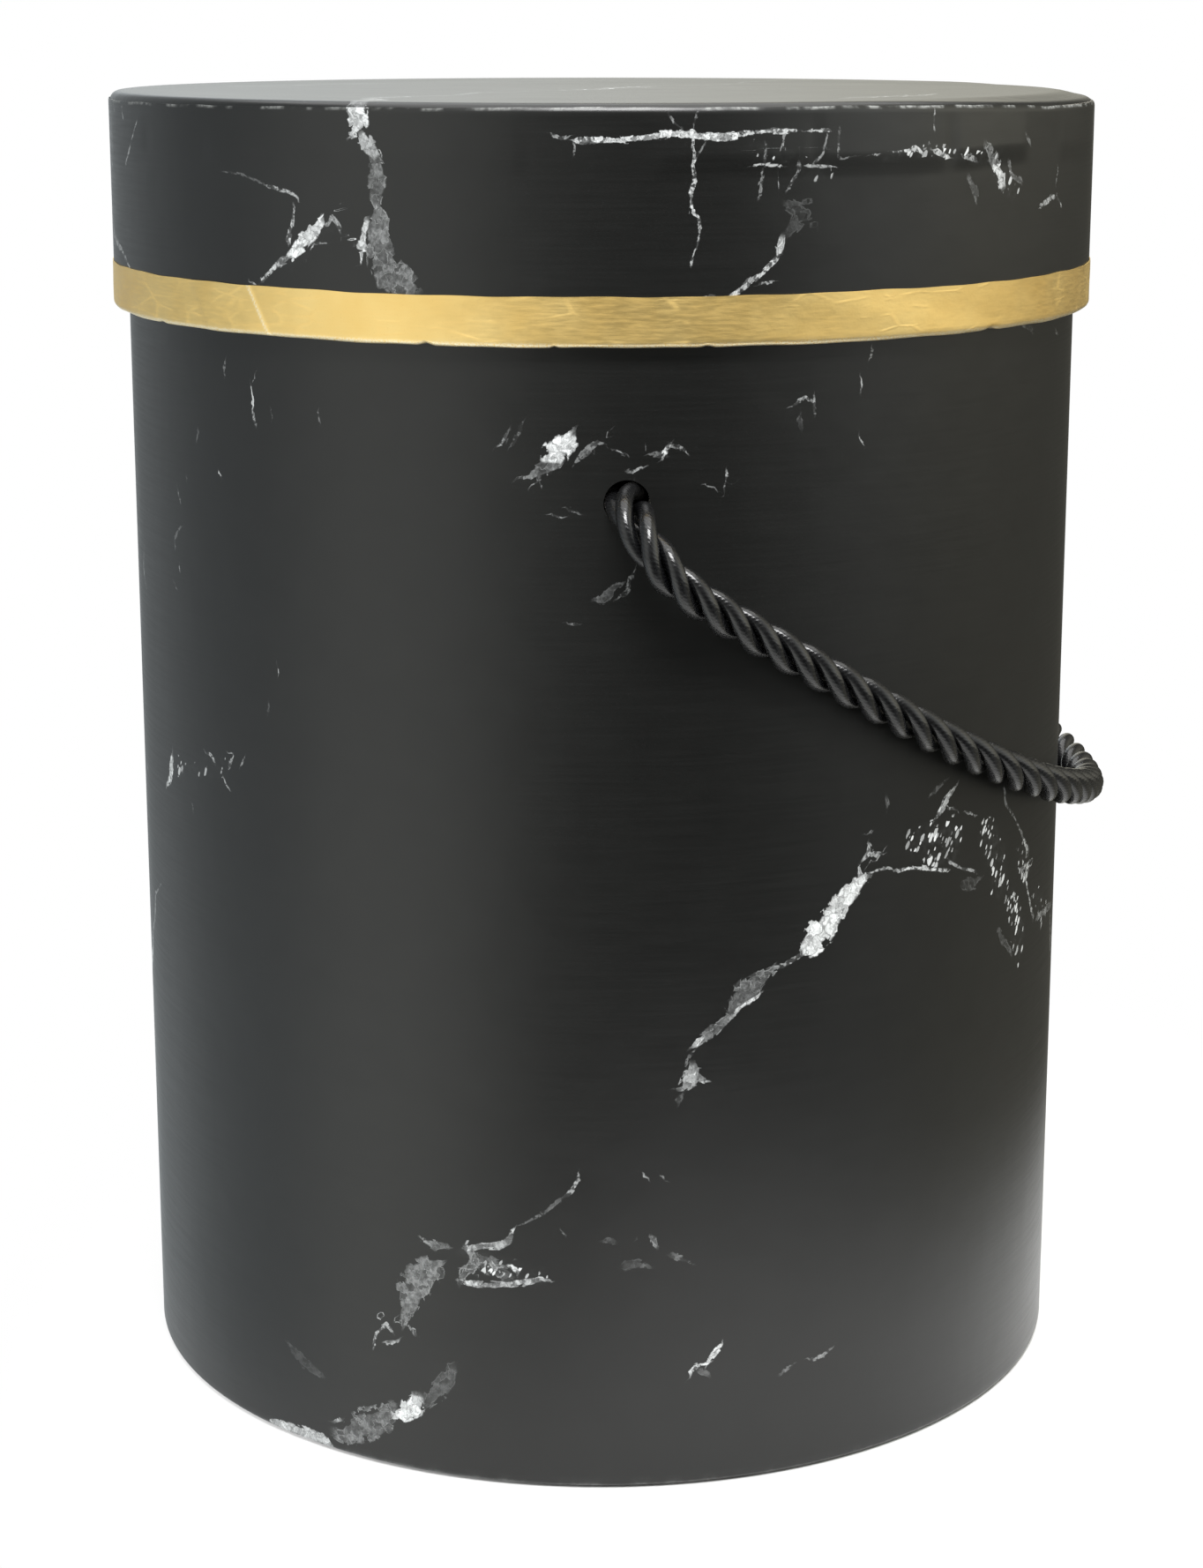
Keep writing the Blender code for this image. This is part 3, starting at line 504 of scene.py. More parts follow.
class Shader(Nodes):
    """The nodes of one material."""

    def __init__(self, name, **constants):
        self.material = bpy.data.materials.new(name)
        self.material.use_nodes = True
        super().__init__(self.material.node_tree)
        self.surface = self.tree.nodes["Principled BSDF"]
        self.finish(**constants)

    def paper_mm(self):
        """The place on the flat sheet, in millimetres."""
        return self.scaled(self.node("UVMap", uv_map="paper").outputs[0], (1.0 / MM,) * 3)

    def object_mm(self):
        return self.scaled(self.node("TexCoord").outputs["Object"], (1.0 / MM,) * 3)

    def attribute(self, name, output="Fac"):
        return self.node("Attribute", attribute_name=name).outputs[output]

    def bump(self, height, depth_mm, below=None):
        made = self.node("Bump", {"Height": height, "Strength": 1.0, "Distance": depth_mm * MM})
        if below is not None:
            self.feed(made.inputs["Normal"], below)
        return made.outputs[0]

    def finish(self, **sockets):
        """Feeds the surface's own sockets, and returns the material."""
        for socket, value in sockets.items():
            self.feed(self.surface.inputs[socket.replace("_", " ")], value)
        return self.material


def vein_tone(shader, layer, shards, wobble):
    """Brightness of one layer of veins: angular edges, bright outlines and a fill of shards."""
    offset, half_width, strength = shader.parts(shader.attribute(layer, "Vector"))
    shift, light, pick = shards["parts"]
    reach = shader.plus(shader.times(half_width, 0.12), 0.10)
    offset = shader.plus(offset, shader.centred(shift, reach))
    ragged = shader.plus(shader.times(half_width, 0.08), 0.20)
    offset = shader.plus(offset, shader.centred(wobble, ragged))
    width = shader.times(half_width, shader.remap(pick, 0.0, 1.0, 0.66, 1.10))
    depth = shader.math("SUBTRACT", width, shader.math("ABSOLUTE", offset))
    inside = shader.remap(depth, -0.05, shader.plus(shader.times(half_width, 0.11), 0.12))
    outline = shader.remap(depth, 0.34, 0.08)
    outline = shader.times(outline, shader.remap(shift, 0.25, 0.70, 0.20, 0.90))
    outline = shader.times(outline, shader.remap(half_width, 1.2, 2.6, 1.0, 0.55))
    solid = shader.most(shader.remap(strength, 0.60, 0.92), shader.remap(half_width, 0.95, 0.50))
    glassy = shader.plus(shader.times(light, 0.26), 0.08)
    glassy = shader.times(glassy, shader.remap(shards["gaps"], 0.35, 0.65, 0.55, 1.50))
    glassy = shader.most(glassy, shader.times(shards["edge"], shader.remap(pick, 0.4, 0.8, 0.0, 0.55)))
    white = shader.plus(shader.times(light, 0.34), 0.58)
    white = shader.times(white, shader.remap(shards["edge"], 0.0, 1.0, 1.0, 0.58))
    fill = shader.node("Mix", {0: solid, 2: glassy, 3: white}).outputs[0]
    fill = shader.times(fill, shards["fibres"])
    whole = shader.remap(half_width, 0.45, 1.0, 0.10, 1.0)
    broken = shader.most(whole, shader.remap(shards["gaps"], 0.40, 0.54))
    level = shader.times(shader.math("POWER", strength, 1.35), broken)
    return shader.times(shader.times(inside, shader.most(fill, outline)), level)


def vein_shards(shader, place, size):
    """Angular pieces of about that size: three random values for each, and its edge lines.

    The fibres darken the pieces in streaks. The gaps break up the thin veins.
    """
    drift = shader.node("TexNoise", {"Vector": place, "Scale": 0.9, "Detail": 2.0}).outputs["Color"]
    bent = shader.vector_math("ADD", place, shader.scaled(drift, (2.2, 2.2, 0.0)))
    pieces = shader.node("TexVoronoi", {"Vector": bent, "Scale": 1.0 / size}).outputs["Color"]
    fibres = shader.noise(shader.scaled(bent, (1.6, 0.8, 1.0)), 0.6, 3.0, 0.65, shift=83.0)
    return {
        "parts": shader.node("SeparateColor", {"Color": pieces}).outputs,
        "edge": shader.remap(shader.cell_edges(bent, size), 0.09, 0.02),
        "fibres": shader.remap(fibres, 0.32, 0.68, 0.62, 1.15),
        "gaps": shader.noise(place, 1.1, 2.0, 0.6, shift=97.0),
    }


def speck_tone(shader, place, density, fine):
    """Small slanting dashes; the density sets how many there are."""
    turned = shader.node("VectorRotate", {"Vector": place, "Angle": 0.5}, rotation_type="Z_AXIS").outputs[0]
    inputs = {"Vector": shader.scaled(turned, (1.15, 0.52, 1.0)), "Scale": 1.0, "Randomness": 1.0}
    cells = shader.node("TexVoronoi", inputs).outputs
    pick, light, size = shader.node("SeparateColor", {"Color": cells["Color"]}).outputs
    reach = shader.plus(shader.times(size, 0.28), 0.26)
    ragged = shader.plus(cells["Distance"], shader.centred(fine, 0.18))
    over = shader.math("SUBTRACT", reach, ragged)
    shown = shader.remap(shader.math("SUBTRACT", shader.times(density, 0.9), pick), 0.0, 0.05)
    level = shader.plus(shader.times(light, 0.65), 0.30)
    return shader.times(shader.times(shader.remap(over, -0.05, 0.07), shown), level)


def marble_paper(name):
    """Black laminated paper with printed white veins and a fine, slightly streaked surface."""
    shader = Shader(name)
    place = shader.paper_mm()
    slow = shader.noise(place, 8.0, 1.5, shift=11.0)
    quick = shader.noise(place, 1.5, 3.0, 0.6, shift=23.0)
    beads = shader.noise(place, 4.5, 2.0, shift=37.0)
    fine = shader.noise(place, 0.35, 2.0, shift=5.0)
    wobble = shader.noise(place, 0.9, 2.0, 0.6, shift=61.0)

    shards = vein_shards(shader, place, 1.7)
    tone = shader.times(shader.attribute("specks"), shader.remap(quick, 0.35, 0.75, 0.0, 0.022))
    for layer in VEIN_LAYERS:
        tone = shader.most(tone, vein_tone(shader, layer, shards, wobble))
    tone = shader.most(tone, speck_tone(shader, place, shader.attribute("specks"), wobble))

    # Mixed towards pale grey: real rubbing at the rim and the strip's cut edge, and a painted reflection
    # along the body's foot.
    scuffs_and_sheen = shader.times(shader.attribute("wear_and_sheen"), shader.remap(beads, 0.42, 0.60))
    scuffs_and_sheen = shader.times(scuffs_and_sheen, shader.remap(wobble, 0.35, 0.60, 0.3, 1.0))
    ink = shader.blend(slow, (0.0035, 0.0036, 0.0034), (0.0062, 0.0064, 0.0060))
    ink = shader.blend(shader.remap(fine, 0.62, 0.80, 0.0, 0.35), ink, (0.016, 0.016, 0.017))
    colour = shader.blend(shader.math("MINIMUM", tone, 1.0), ink, (0.86, 0.88, 0.89))
    colour = shader.blend(shader.times(scuffs_and_sheen, 0.7), colour, (0.42, 0.43, 0.42))

    streaks = shader.noise(shader.scaled(place, (0.05, 1.6, 1.0)), 1.0, 3.0, 0.6)
    roughness = shader.remap(streaks, 0.25, 0.75, 0.28, 0.33)
    roughness = shader.plus(roughness, shader.times(fine, 0.04))
    roughness = shader.plus(roughness, shader.times(scuffs_and_sheen, 0.2))
    grain = shader.bump(shader.noise(place, 0.22, 3.0, 0.6), 0.006)
    waves = shader.bump(shader.noise(place, 14.0, 2.0), 0.10, grain)
    lines = shader.bump(streaks, 0.004, waves)
    return shader.finish(Base_Color=colour, Roughness=roughness, Normal=lines)


def gold_foil():
    """Gold foil with a drawn, streaky grain, a few creases, duller rubbed patches and a painted highlight
    along its fold and raised end.
    """
    shader = Shader("gold_foil", Metallic=1.0, Coat_Weight=0.3, Coat_Roughness=0.35)
    place = shader.paper_mm()
    streak = shader.noise(shader.scaled(place, (0.12, 1.0, 1.0)), 0.5, 4.0, 0.65)
    patch = shader.noise(place, 9.0, 2.0, shift=31.0)
    fine = shader.noise(place, 0.28, 2.0, shift=9.0)
    tilted = shader.scaled(place, (0.28, 0.9, 1.0))
    creases = shader.remap(shader.cell_edges(tilted, 2.6), 0.0, 0.10, 1.0, 0.0)
    creases = shader.times(creases, shader.remap(patch, 0.50, 0.62))
    colour = shader.blend(patch, (0.84, 0.56, 0.17), (0.95, 0.72, 0.30))
    colour = shader.blend(shader.remap(fine, 0.6, 0.8, 0.0, 0.3), colour, (0.68, 0.46, 0.15))
    # Painted highlight: pale gold along the band's lower fold and raised end.
    colour = shader.blend(shader.times(shader.attribute("wear_and_sheen"), shader.remap(fine, 0.3, 0.6)),
                          colour, (0.97, 0.92, 0.74))
    roughness = shader.remap(streak, 0.3, 0.7, 0.40, 0.50)
    roughness = shader.plus(roughness, shader.times(creases, 0.08))
    low = shader.bump(shader.noise(place, 3.2, 3.0, 0.6, shift=3.0), 0.05)
    drawn = shader.bump(streak, 0.008, low)
    folds = shader.bump(creases, 0.02, drawn)
    return shader.finish(Base_Color=colour, Roughness=roughness, Normal=folds)


def plain_paper(name, light, dark, roughness):
    """Uncoated paper: cloudy fibres, short hairs and a soft tooth."""
    shader = Shader(name, Specular_IOR_Level=0.3)
    place = shader.paper_mm()
    fibres = shader.noise(shader.scaled(place, (0.35, 1.2, 1.0)), 0.5, 4.0, 0.7)
    cloud = shader.noise(place, 6.0, 3.0, shift=13.0)
    hairs = shader.remap(shader.cell_edges(shader.scaled(place, (0.3, 1.0, 1.0)), 2.2), 0.0, 0.03, 0.5, 0.0)
    colour = shader.blend(shader.remap(fibres, 0.3, 0.7), dark, light)
    colour = shader.blend(shader.times(hairs, 0.35), colour, dark)
    colour = shader.blend(shader.remap(cloud, 0.35, 0.7, 0.0, 0.25), colour, dark)
    rough = shader.remap(fibres, 0.3, 0.7, roughness - 0.06, roughness + 0.05)
    tooth = shader.bump(fibres, 0.02)
    soft = shader.bump(cloud, 0.12, tooth)
    return shader.finish(Base_Color=colour, Roughness=rough, Normal=soft)


def greyboard():
    """Pressed grey board with flecks of the waste paper that it is made of."""
    shader = Shader("greyboard", Specular_IOR_Level=0.25)
    place = shader.object_mm()
    pulp = shader.noise(place, 0.8, 4.0, 0.7)
    flecks = shader.remap(shader.noise(place, 0.5, 1.0, shift=17.0), 0.66, 0.74)
    colour = shader.blend(pulp, (0.30, 0.28, 0.25), (0.46, 0.44, 0.40))
    colour = shader.blend(shader.times(flecks, 0.7), colour, (0.12, 0.13, 0.16))
    rough = shader.remap(pulp, 0.3, 0.7, 0.82, 0.95)
    return shader.finish(Base_Color=colour, Roughness=rough, Normal=shader.bump(pulp, 0.05))


def satin_cord():
    """Black satin floss wound round each strand: glossy threads that cross the strand."""
    shader = Shader("satin_cord", Specular_IOR_Level=0.36, Coat_Weight=0.3, Coat_Roughness=0.1)
    place = shader.paper_mm()
    x, y, _ = shader.parts(place)
    wander = shader.times(shader.noise(place, 3.0, 2.0), 0.5)
    across = shader.plus(shader.plus(shader.times(x, 0.55), shader.times(y, 0.9)), wander)
    thread = shader.math("SINE", shader.times(across, math.tau / 0.55))
    thread = shader.remap(thread, -1.0, 1.0)
    filament = shader.noise(place, 0.16, 2.0, shift=3.0)
    glint = shader.noise(place, 0.7, 2.0, 0.6, shift=29.0)
    colour = shader.blend(thread, (0.0020, 0.0020, 0.0024), (0.0060, 0.0061, 0.0068))
    colour = shader.blend(shader.remap(filament, 0.55, 0.8, 0.0, 0.5), colour, (0.018, 0.019, 0.021))
    rough = shader.remap(thread, 0.0, 1.0, 0.26, 0.18)
    rough = shader.plus(rough, shader.remap(glint, 0.35, 0.65, 0.0, 0.06))
    relief = shader.bump(thread, 0.014)
    fuzz = shader.bump(filament, 0.006, relief)
    return shader.finish(Base_Color=colour, Roughness=rough, Normal=fuzz)


def clear_tape():
    """Clear sticky tape: thin, glossy and slightly wrinkled, with trapped air."""
    shader = Shader("clear_tape", IOR=1.47, Alpha=0.38)
    place = shader.object_mm()
    wrinkle = shader.noise(place, 1.6, 3.0, 0.6)
    air = shader.remap(shader.noise(place, 2.4, 2.0, shift=7.0), 0.55, 0.62)
    colour = shader.blend(air, (0.42, 0.42, 0.40), (0.70, 0.70, 0.68))
    rough = shader.remap(wrinkle, 0.3, 0.7, 0.08, 0.24)
    return shader.finish(Base_Color=colour, Roughness=rough, Normal=shader.bump(wrinkle, 0.15))


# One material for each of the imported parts' slots.
MATERIALS = {
    "marble_paper": marble_paper("black_marble_paper"),
    "gold_foil": gold_foil(),
    "lining_paper": plain_paper("lining_paper", (0.82, 0.80, 0.75), (0.68, 0.66, 0.60), 0.75),
    "base_paper": plain_paper("black_base_paper", (0.020, 0.020, 0.020), (0.010, 0.010, 0.011), 0.62),
    "greyboard": greyboard(),
    "satin_cord": satin_cord(),
    "clear_tape": clear_tape(),
}


# ---------------------------------------------------------------- objects

def add_object(name, data):
    made = bpy.data.objects.new(name, data)
    bpy.context.scene.collection.objects.link(made)
    return made


def add_piece(name, mesh, slot, sharp_angle=40):
    mesh.name = name
    mesh.materials.append(MATERIALS[slot])
    mesh.shade_smooth()
    mesh.set_sharp_from_angle(angle=math.radians(sharp_angle))
    return add_object(name, mesh)


def stand_for(piece, body, slot, *nodes):
    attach(piece, body)
    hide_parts(*nodes)
    return piece


def give_material(node, slot):
    """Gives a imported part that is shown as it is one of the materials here."""
    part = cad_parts[node]
    part.data.materials.clear()
    part.data.materials.append(MATERIALS[slot])
    return part


def apply_modifier(piece, modifier):
    evaluated = piece.evaluated_get(bpy.context.evaluated_depsgraph_get())
    mesh = bpy.data.meshes.new_from_object(evaluated)
    piece.modifiers.remove(modifier)
    piece.data = mesh


def punch(piece, cutter):
    cut = piece.modifiers.new("cord_holes", "BOOLEAN")
    cut.operation = "DIFFERENCE"
    cut.solver = "EXACT"
    cut.object = cutter
    apply_modifier(piece, cut)


def soften_edges(piece, width):
    """Rounds the sharp corners of a board's section."""
    bevel = piece.modifiers.new("soft_edges", "BEVEL")
    bevel.width = width
    bevel.segments = 3
    bevel.limit_method = "ANGLE"
    bevel.angle_limit = math.radians(50)
    apply_modifier(piece, bevel)


def weld(mesh):
    """Joins the points where a turned shape closes, and points its faces outwards."""
    welded = bmesh.new()
    welded.from_mesh(mesh)
    bmesh.ops.remove_doubles(welded, verts=welded.verts, dist=1e-6)
    bmesh.ops.recalc_face_normals(welded, faces=welded.faces)
    welded.to_mesh(mesh)
    welded.free()


def write_attribute(mesh, name, kind, field, values):
    attribute = mesh.attributes.new(name, kind, "POINT")
    attribute.data.foreach_set(field, np.asarray(values, np.float32).reshape(-1))


def smoothstep(value, low, high):
    share = np.clip((value - low) / (high - low), 0.0, 1.0)
    return share * share * (3.0 - 2.0 * share)


def distances_along(points):
    """How far along a line each of its points lies."""
    steps = np.linalg.norm(np.diff(np.array(points, float), axis=0), axis=1)
    return np.concatenate([[0.0], np.cumsum(steps)])


# ---------------------------------------------------------------- printed veins and specks

def segments_near(x, y, line, reach):
    """Each segment of a line, with the places near it, all in mm.

    Gives the places' numbers, their signed distance to the segment's line, their distance to the
    segment, how far they lie beyond the line's ends, and the line's half-width beside them.
    """
    last = len(line) - 2
    for i, ((ax, ay, aw), (bx, by, bw)) in enumerate(zip(line, line[1:])):
        beside = (x > min(ax, bx) - reach) & (x < max(ax, bx) + reach)
        near = np.nonzero(beside & (y > min(ay, by) - reach) & (y < max(ay, by) + reach))[0]
        dx, dy = bx - ax, by - ay
        length = math.hypot(dx, dy)
        along = ((x[near] - ax) * dx + (y[near] - ay) * dy) / length
        side = ((x[near] - ax) * dy - (y[near] - ay) * dx) / length
        inside = np.clip(along, 0.0, length)
        gap = np.hypot(side, along - inside)
        beyond = np.maximum(-along if i == 0 else 0.0, along - length if i == last else 0.0)
        yield near, side, gap, np.maximum(beyond, 0.0), aw + (bw - aw) * inside / length


def vein_field(x, y, veins):
    """For each place in mm: signed distance to the nearest vein, its half-width and brightness."""
    nearest = np.full(x.shape, np.inf)
    field = np.zeros((len(x), 3))
    field[:, 0] = 4 * VEIN_REACH
    for brightness, line in veins:
        for near, side, gap, beyond, half in segments_near(x, y, line, VEIN_REACH):
            fade = 1.0 - smoothstep(beyond, 0.0, 0.8 + half * 0.5)
            fade = fade * (1.0 - smoothstep(gap, half + 1.8, half + 3.0))
            closer = gap - half < nearest[near]
            chosen = near[closer]
            nearest[chosen] = (gap - half)[closer]
            values = np.stack([np.where(side < 0, -gap, gap), half, brightness * fade], axis=-1)
            field[chosen] = values[closer]
    return field


def speck_field(x, y, patches):
    """Density of loose specks at each place in mm, from 0 to 1."""
    density = np.zeros(len(x))
    for amount, line in patches:
        for near, _, gap, _, reach in segments_near(x, y, line, SPECK_REACH):
            here = amount * (1.0 - smoothstep(gap, 0.3 * reach, reach))
            density[near] = np.maximum(density[near], here)
    return density


def in_layers(veins):
    """Deals the veins into layers, so that the veins of one layer are well apart."""
    layers = [[] for _ in VEIN_LAYERS]
    taken = [np.full((1, 3), 1e6) for _ in VEIN_LAYERS]
    for brightness, line in veins:
        marks = np.concatenate([
            np.linspace(a, b, 2 + int(math.dist(a, b))) for a, b in zip(line, line[1:])
        ])
        room = []
        for other in taken:
            across = marks[:, None] - other[None]
            apart = np.hypot(across[..., 0], across[..., 1])
            room.append((apart - marks[:, None, 2] - other[None, :, 2]).min())
        free = [i for i, gap in enumerate(room) if gap > VEIN_CLEARANCE]
        choice = free[0] if free else int(np.argmax(room))
        layers[choice].append((brightness, line))
        taken[choice] = np.concatenate([taken[choice], marks])
    return layers


def wall_print(marks, low, high, radius):
    """Marks in mm on a wall's flat paper: the front's, and again the other way up half way round."""
    turned = [
        (amount, [(180.0 - bearing, (low + high) / MM - height, width) for bearing, height, width in line])
        for amount, line in marks
    ]
    scale = math.radians(1) * radius / MM
    placed = []
    for amount, line in marks + turned:
        for turn in (-360.0, 0.0, 360.0):
            moved = [((bearing + turn) * scale, height, width) for bearing, height, width in line]
            if any(abs(x) < 185.0 * scale for x, _, _ in moved):
                placed.append((amount, moved))
    return placed


# ---------------------------------------------------------------- sheets turned round the axis

def rounded_path(path, corner, spacing, arc_steps=6):
    """Points along a folded path with rounded corners, and whether each belongs to a fold or end."""
    points = [Vector(p) for p in path]
    line = [points[0]]
    at_fold = [True]

    def run_to(target):
        start = line[-1]
        steps = max(1, math.ceil((target - start).length / spacing))
        for step in range(1, steps + 1):
            line.append(start.lerp(target, step / steps))
            at_fold.append(step == steps)

    for before, middle, after in zip(points, points[1:], points[2:]):
        along_in = (middle - before).normalized()
        along_out = (after - middle).normalized()
        half_turn = along_in.angle(along_out) / 2
        start = middle - along_in * corner * math.tan(half_turn)
        centre = middle + (along_out - along_in).normalized() * corner / math.cos(half_turn)
        arm = start - centre
        turn = 2 * half_turn * (1 if along_in.cross(along_out) > 0 else -1)
        run_to(start)
        for step in range(1, arc_steps + 1):
            line.append(centre + Matrix.Rotation(turn * step / arc_steps, 2) @ arm)
            at_fold.append(True)
    run_to(points[-1])
    return line, at_fold


def sheet_outline(path, thickness, corner, spacing):
    """Closed outline of a sheet: its show side finely divided, its glued side only at folds.

    The show side is on the right of the path. Returns radius, height and run arrays, where run
    is the distance along the path, and a mask of the points on the show side.
    """
    line, at_fold = rounded_path(path, corner, spacing)
    runs = distances_along(line)
    last = len(line) - 1
    show, glued = [], []
    for i, point in enumerate(line):
        along = (line[min(i + 1, last)] - line[max(i - 1, 0)]).normalized()
        aside = Vector((along.y, -along.x)) * thickness / 2
        show.append((*(point + aside), runs[i], 1.0))
        if at_fold[i]:
            glued.append((*(point - aside), runs[i], 0.0))
    radius, height, run, shown = np.array(show + glued[::-1]).T
    return np.maximum(radius, 0.0), height, run, shown


def wave(bearing, counts, seed):
    """A smooth random-looking ripple round the axis, from -1 to 1."""
    total = sum(np.sin(count * bearing + seed * 1.7 + count * 0.61 * seed) for count in counts)
    return total / len(counts)


def swell(bearing, counts, seed):
    """The same ripple from 0 to 1."""
    return 0.5 + 0.5 * wave(bearing, counts, seed)


def between_bearings(degrees, start, end, ramp):
    past_start = smoothstep(degrees, start - ramp, start + ramp)
    return past_start * (1 - smoothstep(degrees, end - ramp, end + ramp))


def lap(bearing, bearings):
    """1 where a sheet laps over its own start, up to its cut end."""
    rises, whole, cut = bearings
    degrees = np.degrees(bearing)
    return smoothstep(degrees, rises, whole) * (degrees <= cut)


def cut_at(bearings):
    """The columns at either side of a lap's cut end."""
    return bearings[-1], bearings[-1] + 0.05


def round_wall(radius, run_at_zero=0.0):
    """Flat coordinates of a paper wrapped round the axis: round the wall, and along the path."""
    return lambda bearing, run: (radius * bearing, run - run_at_zero)


def disc_inwards(bearing, run):
    """Flat coordinates of a paper disc whose path ends at its centre."""
    return disc_outwards(bearing, run.max() - run)


def disc_outwards(bearing, run):
    """Flat coordinates of a paper disc whose path starts at its centre."""
    return run * np.sin(bearing), -run * np.cos(bearing)


def turned_mesh(name, outline, bearings, place, relief, prints, wear_and_sheen):
    """An outline turned round the axis. relief(bearing, radius, height) gives its rise out and up."""
    columns, rows = len(bearings), len(outline[0])
    bearing = np.repeat(bearings[:, None], rows, axis=1)
    out, up, run, shown = (np.repeat(values[None], columns, axis=0) for values in outline)
    flat = np.stack(place(bearing, run), axis=-1).reshape(-1, 2)
    if relief is not None:
        rise_out, rise_up = relief(bearing, out, up)
        out = np.where(out > 0, out + rise_out, out)
        up = up + rise_up
    vertices = np.stack([out * np.sin(bearing), -out * np.cos(bearing), up], axis=-1).reshape(-1, 3)

    column = np.arange(columns - 1)[:, None] * rows
    row = np.arange(rows)[None, :]
    after = (row + 1) % rows
    corners = [column + row, column + rows + row, column + rows + after, column + after]
    faces = np.stack(corners, axis=-1).reshape(-1, 4)
    mesh = bpy.data.meshes.new(name)
    mesh.from_pydata(vertices.tolist(), [], faces.tolist())
    uv = mesh.uv_layers.new(name="paper")
    uv.data.foreach_set("uv", flat[faces.reshape(-1)].reshape(-1).astype(np.float32))

    if prints is not None:
        x, y = flat.T / MM
        veins, specks = prints
        for label, layer in zip(VEIN_LAYERS, in_layers(veins)):
            write_attribute(mesh, label, "FLOAT_VECTOR", "vector", vein_field(x, y, layer))
        write_attribute(mesh, "specks", "FLOAT", "value", speck_field(x, y, specks))
    if wear_and_sheen is not None:
        write_attribute(mesh, "wear_and_sheen", "FLOAT", "value", wear_and_sheen(bearing, out, up) * shown)
    weld(mesh)
    return mesh


def add_sheet(name, body, node, slot, path, *, thickness, columns, place, spacing=0.004, corner=0.001,
              steps=(), bevel=None, cutter=None, relief=None, prints=None, wear_and_sheen=None):
    """Makes a sheet of paper, foil or board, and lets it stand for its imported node.

    The path is the middle of the sheet as (radius, height) points. The sheet has that many even
    columns round the axis, and others at the bearings in steps.
    """
    outline = sheet_outline(path, thickness, corner, spacing)
    even = np.linspace(-180.0, 180.0, columns + 1)
    bearings = np.radians(np.unique(np.concatenate([even, np.array(steps, float)])))
    mesh = turned_mesh(name, outline, bearings, place, relief, prints, wear_and_sheen)
    piece = add_piece(name, mesh, slot)
    if bevel is not None:
        soften_edges(piece, bevel)
    if cutter is not None:
        punch(piece, cutter)
    return stand_for(piece, body, slot, node)


def add_board(name, body, node, path, **extras):
    return add_sheet(name, body, node, "greyboard", path, columns=144, spacing=0.02, **extras)


# ---------------------------------------------------------------- the box

def hole_cutter():
    """A long cylinder through both holes."""
    made = bmesh.new()
    bmesh.ops.create_cone(
        made, cap_ends=True, segments=HOLE_SIDES, radius1=HOLE_RADIUS, radius2=HOLE_RADIUS,
        depth=1.2 * 2 * BODY_RADIUS,
    )
    made.transform(Matrix.Translation((0.0, 0.0, HOLE_HEIGHT)) @ Matrix.Rotation(math.pi / 2, 4, "X"))
    mesh = bpy.data.meshes.new("hole_cutter")
    made.to_mesh(mesh)
    made.free()
    return add_object("hole_cutter", mesh)


def body_relief(bearing, out, up):
    """Slight waviness of the wrapped paper, all outwards, and the overlap at the rear."""
    ripple = 0.00006 * swell(bearing + up * 3.0, (3, 5, 8), 1.3) * smoothstep(up, 0.002, 0.02)
    rise = ripple + PAPER * lap(bearing, BODY_LAP)
    return np.where(out > BODY_RADIUS - 0.0012, rise, 0.0), np.zeros_like(up)


def body_rim_wear_and_foot_sheen(bearing, out, up):
    """The print is rubbed pale along the rim; the pale line at the foot is a painted reflection."""
    rim = smoothstep(up, BODY_TOP - 0.0010, BODY_TOP - 0.0002)
    # painted reflection: a pale line along the foot, standing in for the floor mirrored there
    foot = 1.0 - smoothstep(up, 0.0005, 0.0016)
    return np.maximum(0.5 * rim, 0.3 * foot * (out > BODY_RADIUS - 0.002))


def lining_relief(bearing, out, up):
    """The lining's overlap and ripples stand inwards, and its edges aren't quite level."""
    ripple = 0.00015 * swell(bearing + up * 5.0, (4, 7, 11), 2.1)
    return -(PAPER * lap(bearing, LINING_LAP) + ripple), 0.0002 * wave(bearing, (5, 9), 3.0)


def floor_relief(bearing, out, up):
    """The lining disc buckles a little towards its rim."""
    rim = smoothstep(out, 0.06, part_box("base_lining")[1].x)
    return np.zeros_like(up), 0.00025 * rim * swell(bearing, (5, 8, 13), 0.7)


def cover_relief(bearing, out, up):
    """The cover disc's edge is cut by hand."""
    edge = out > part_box("base_cover")[1].x - 0.001
    return -0.0003 * edge * (1 + wave(bearing, (9, 17, 31), 1.1)), np.zeros_like(up)


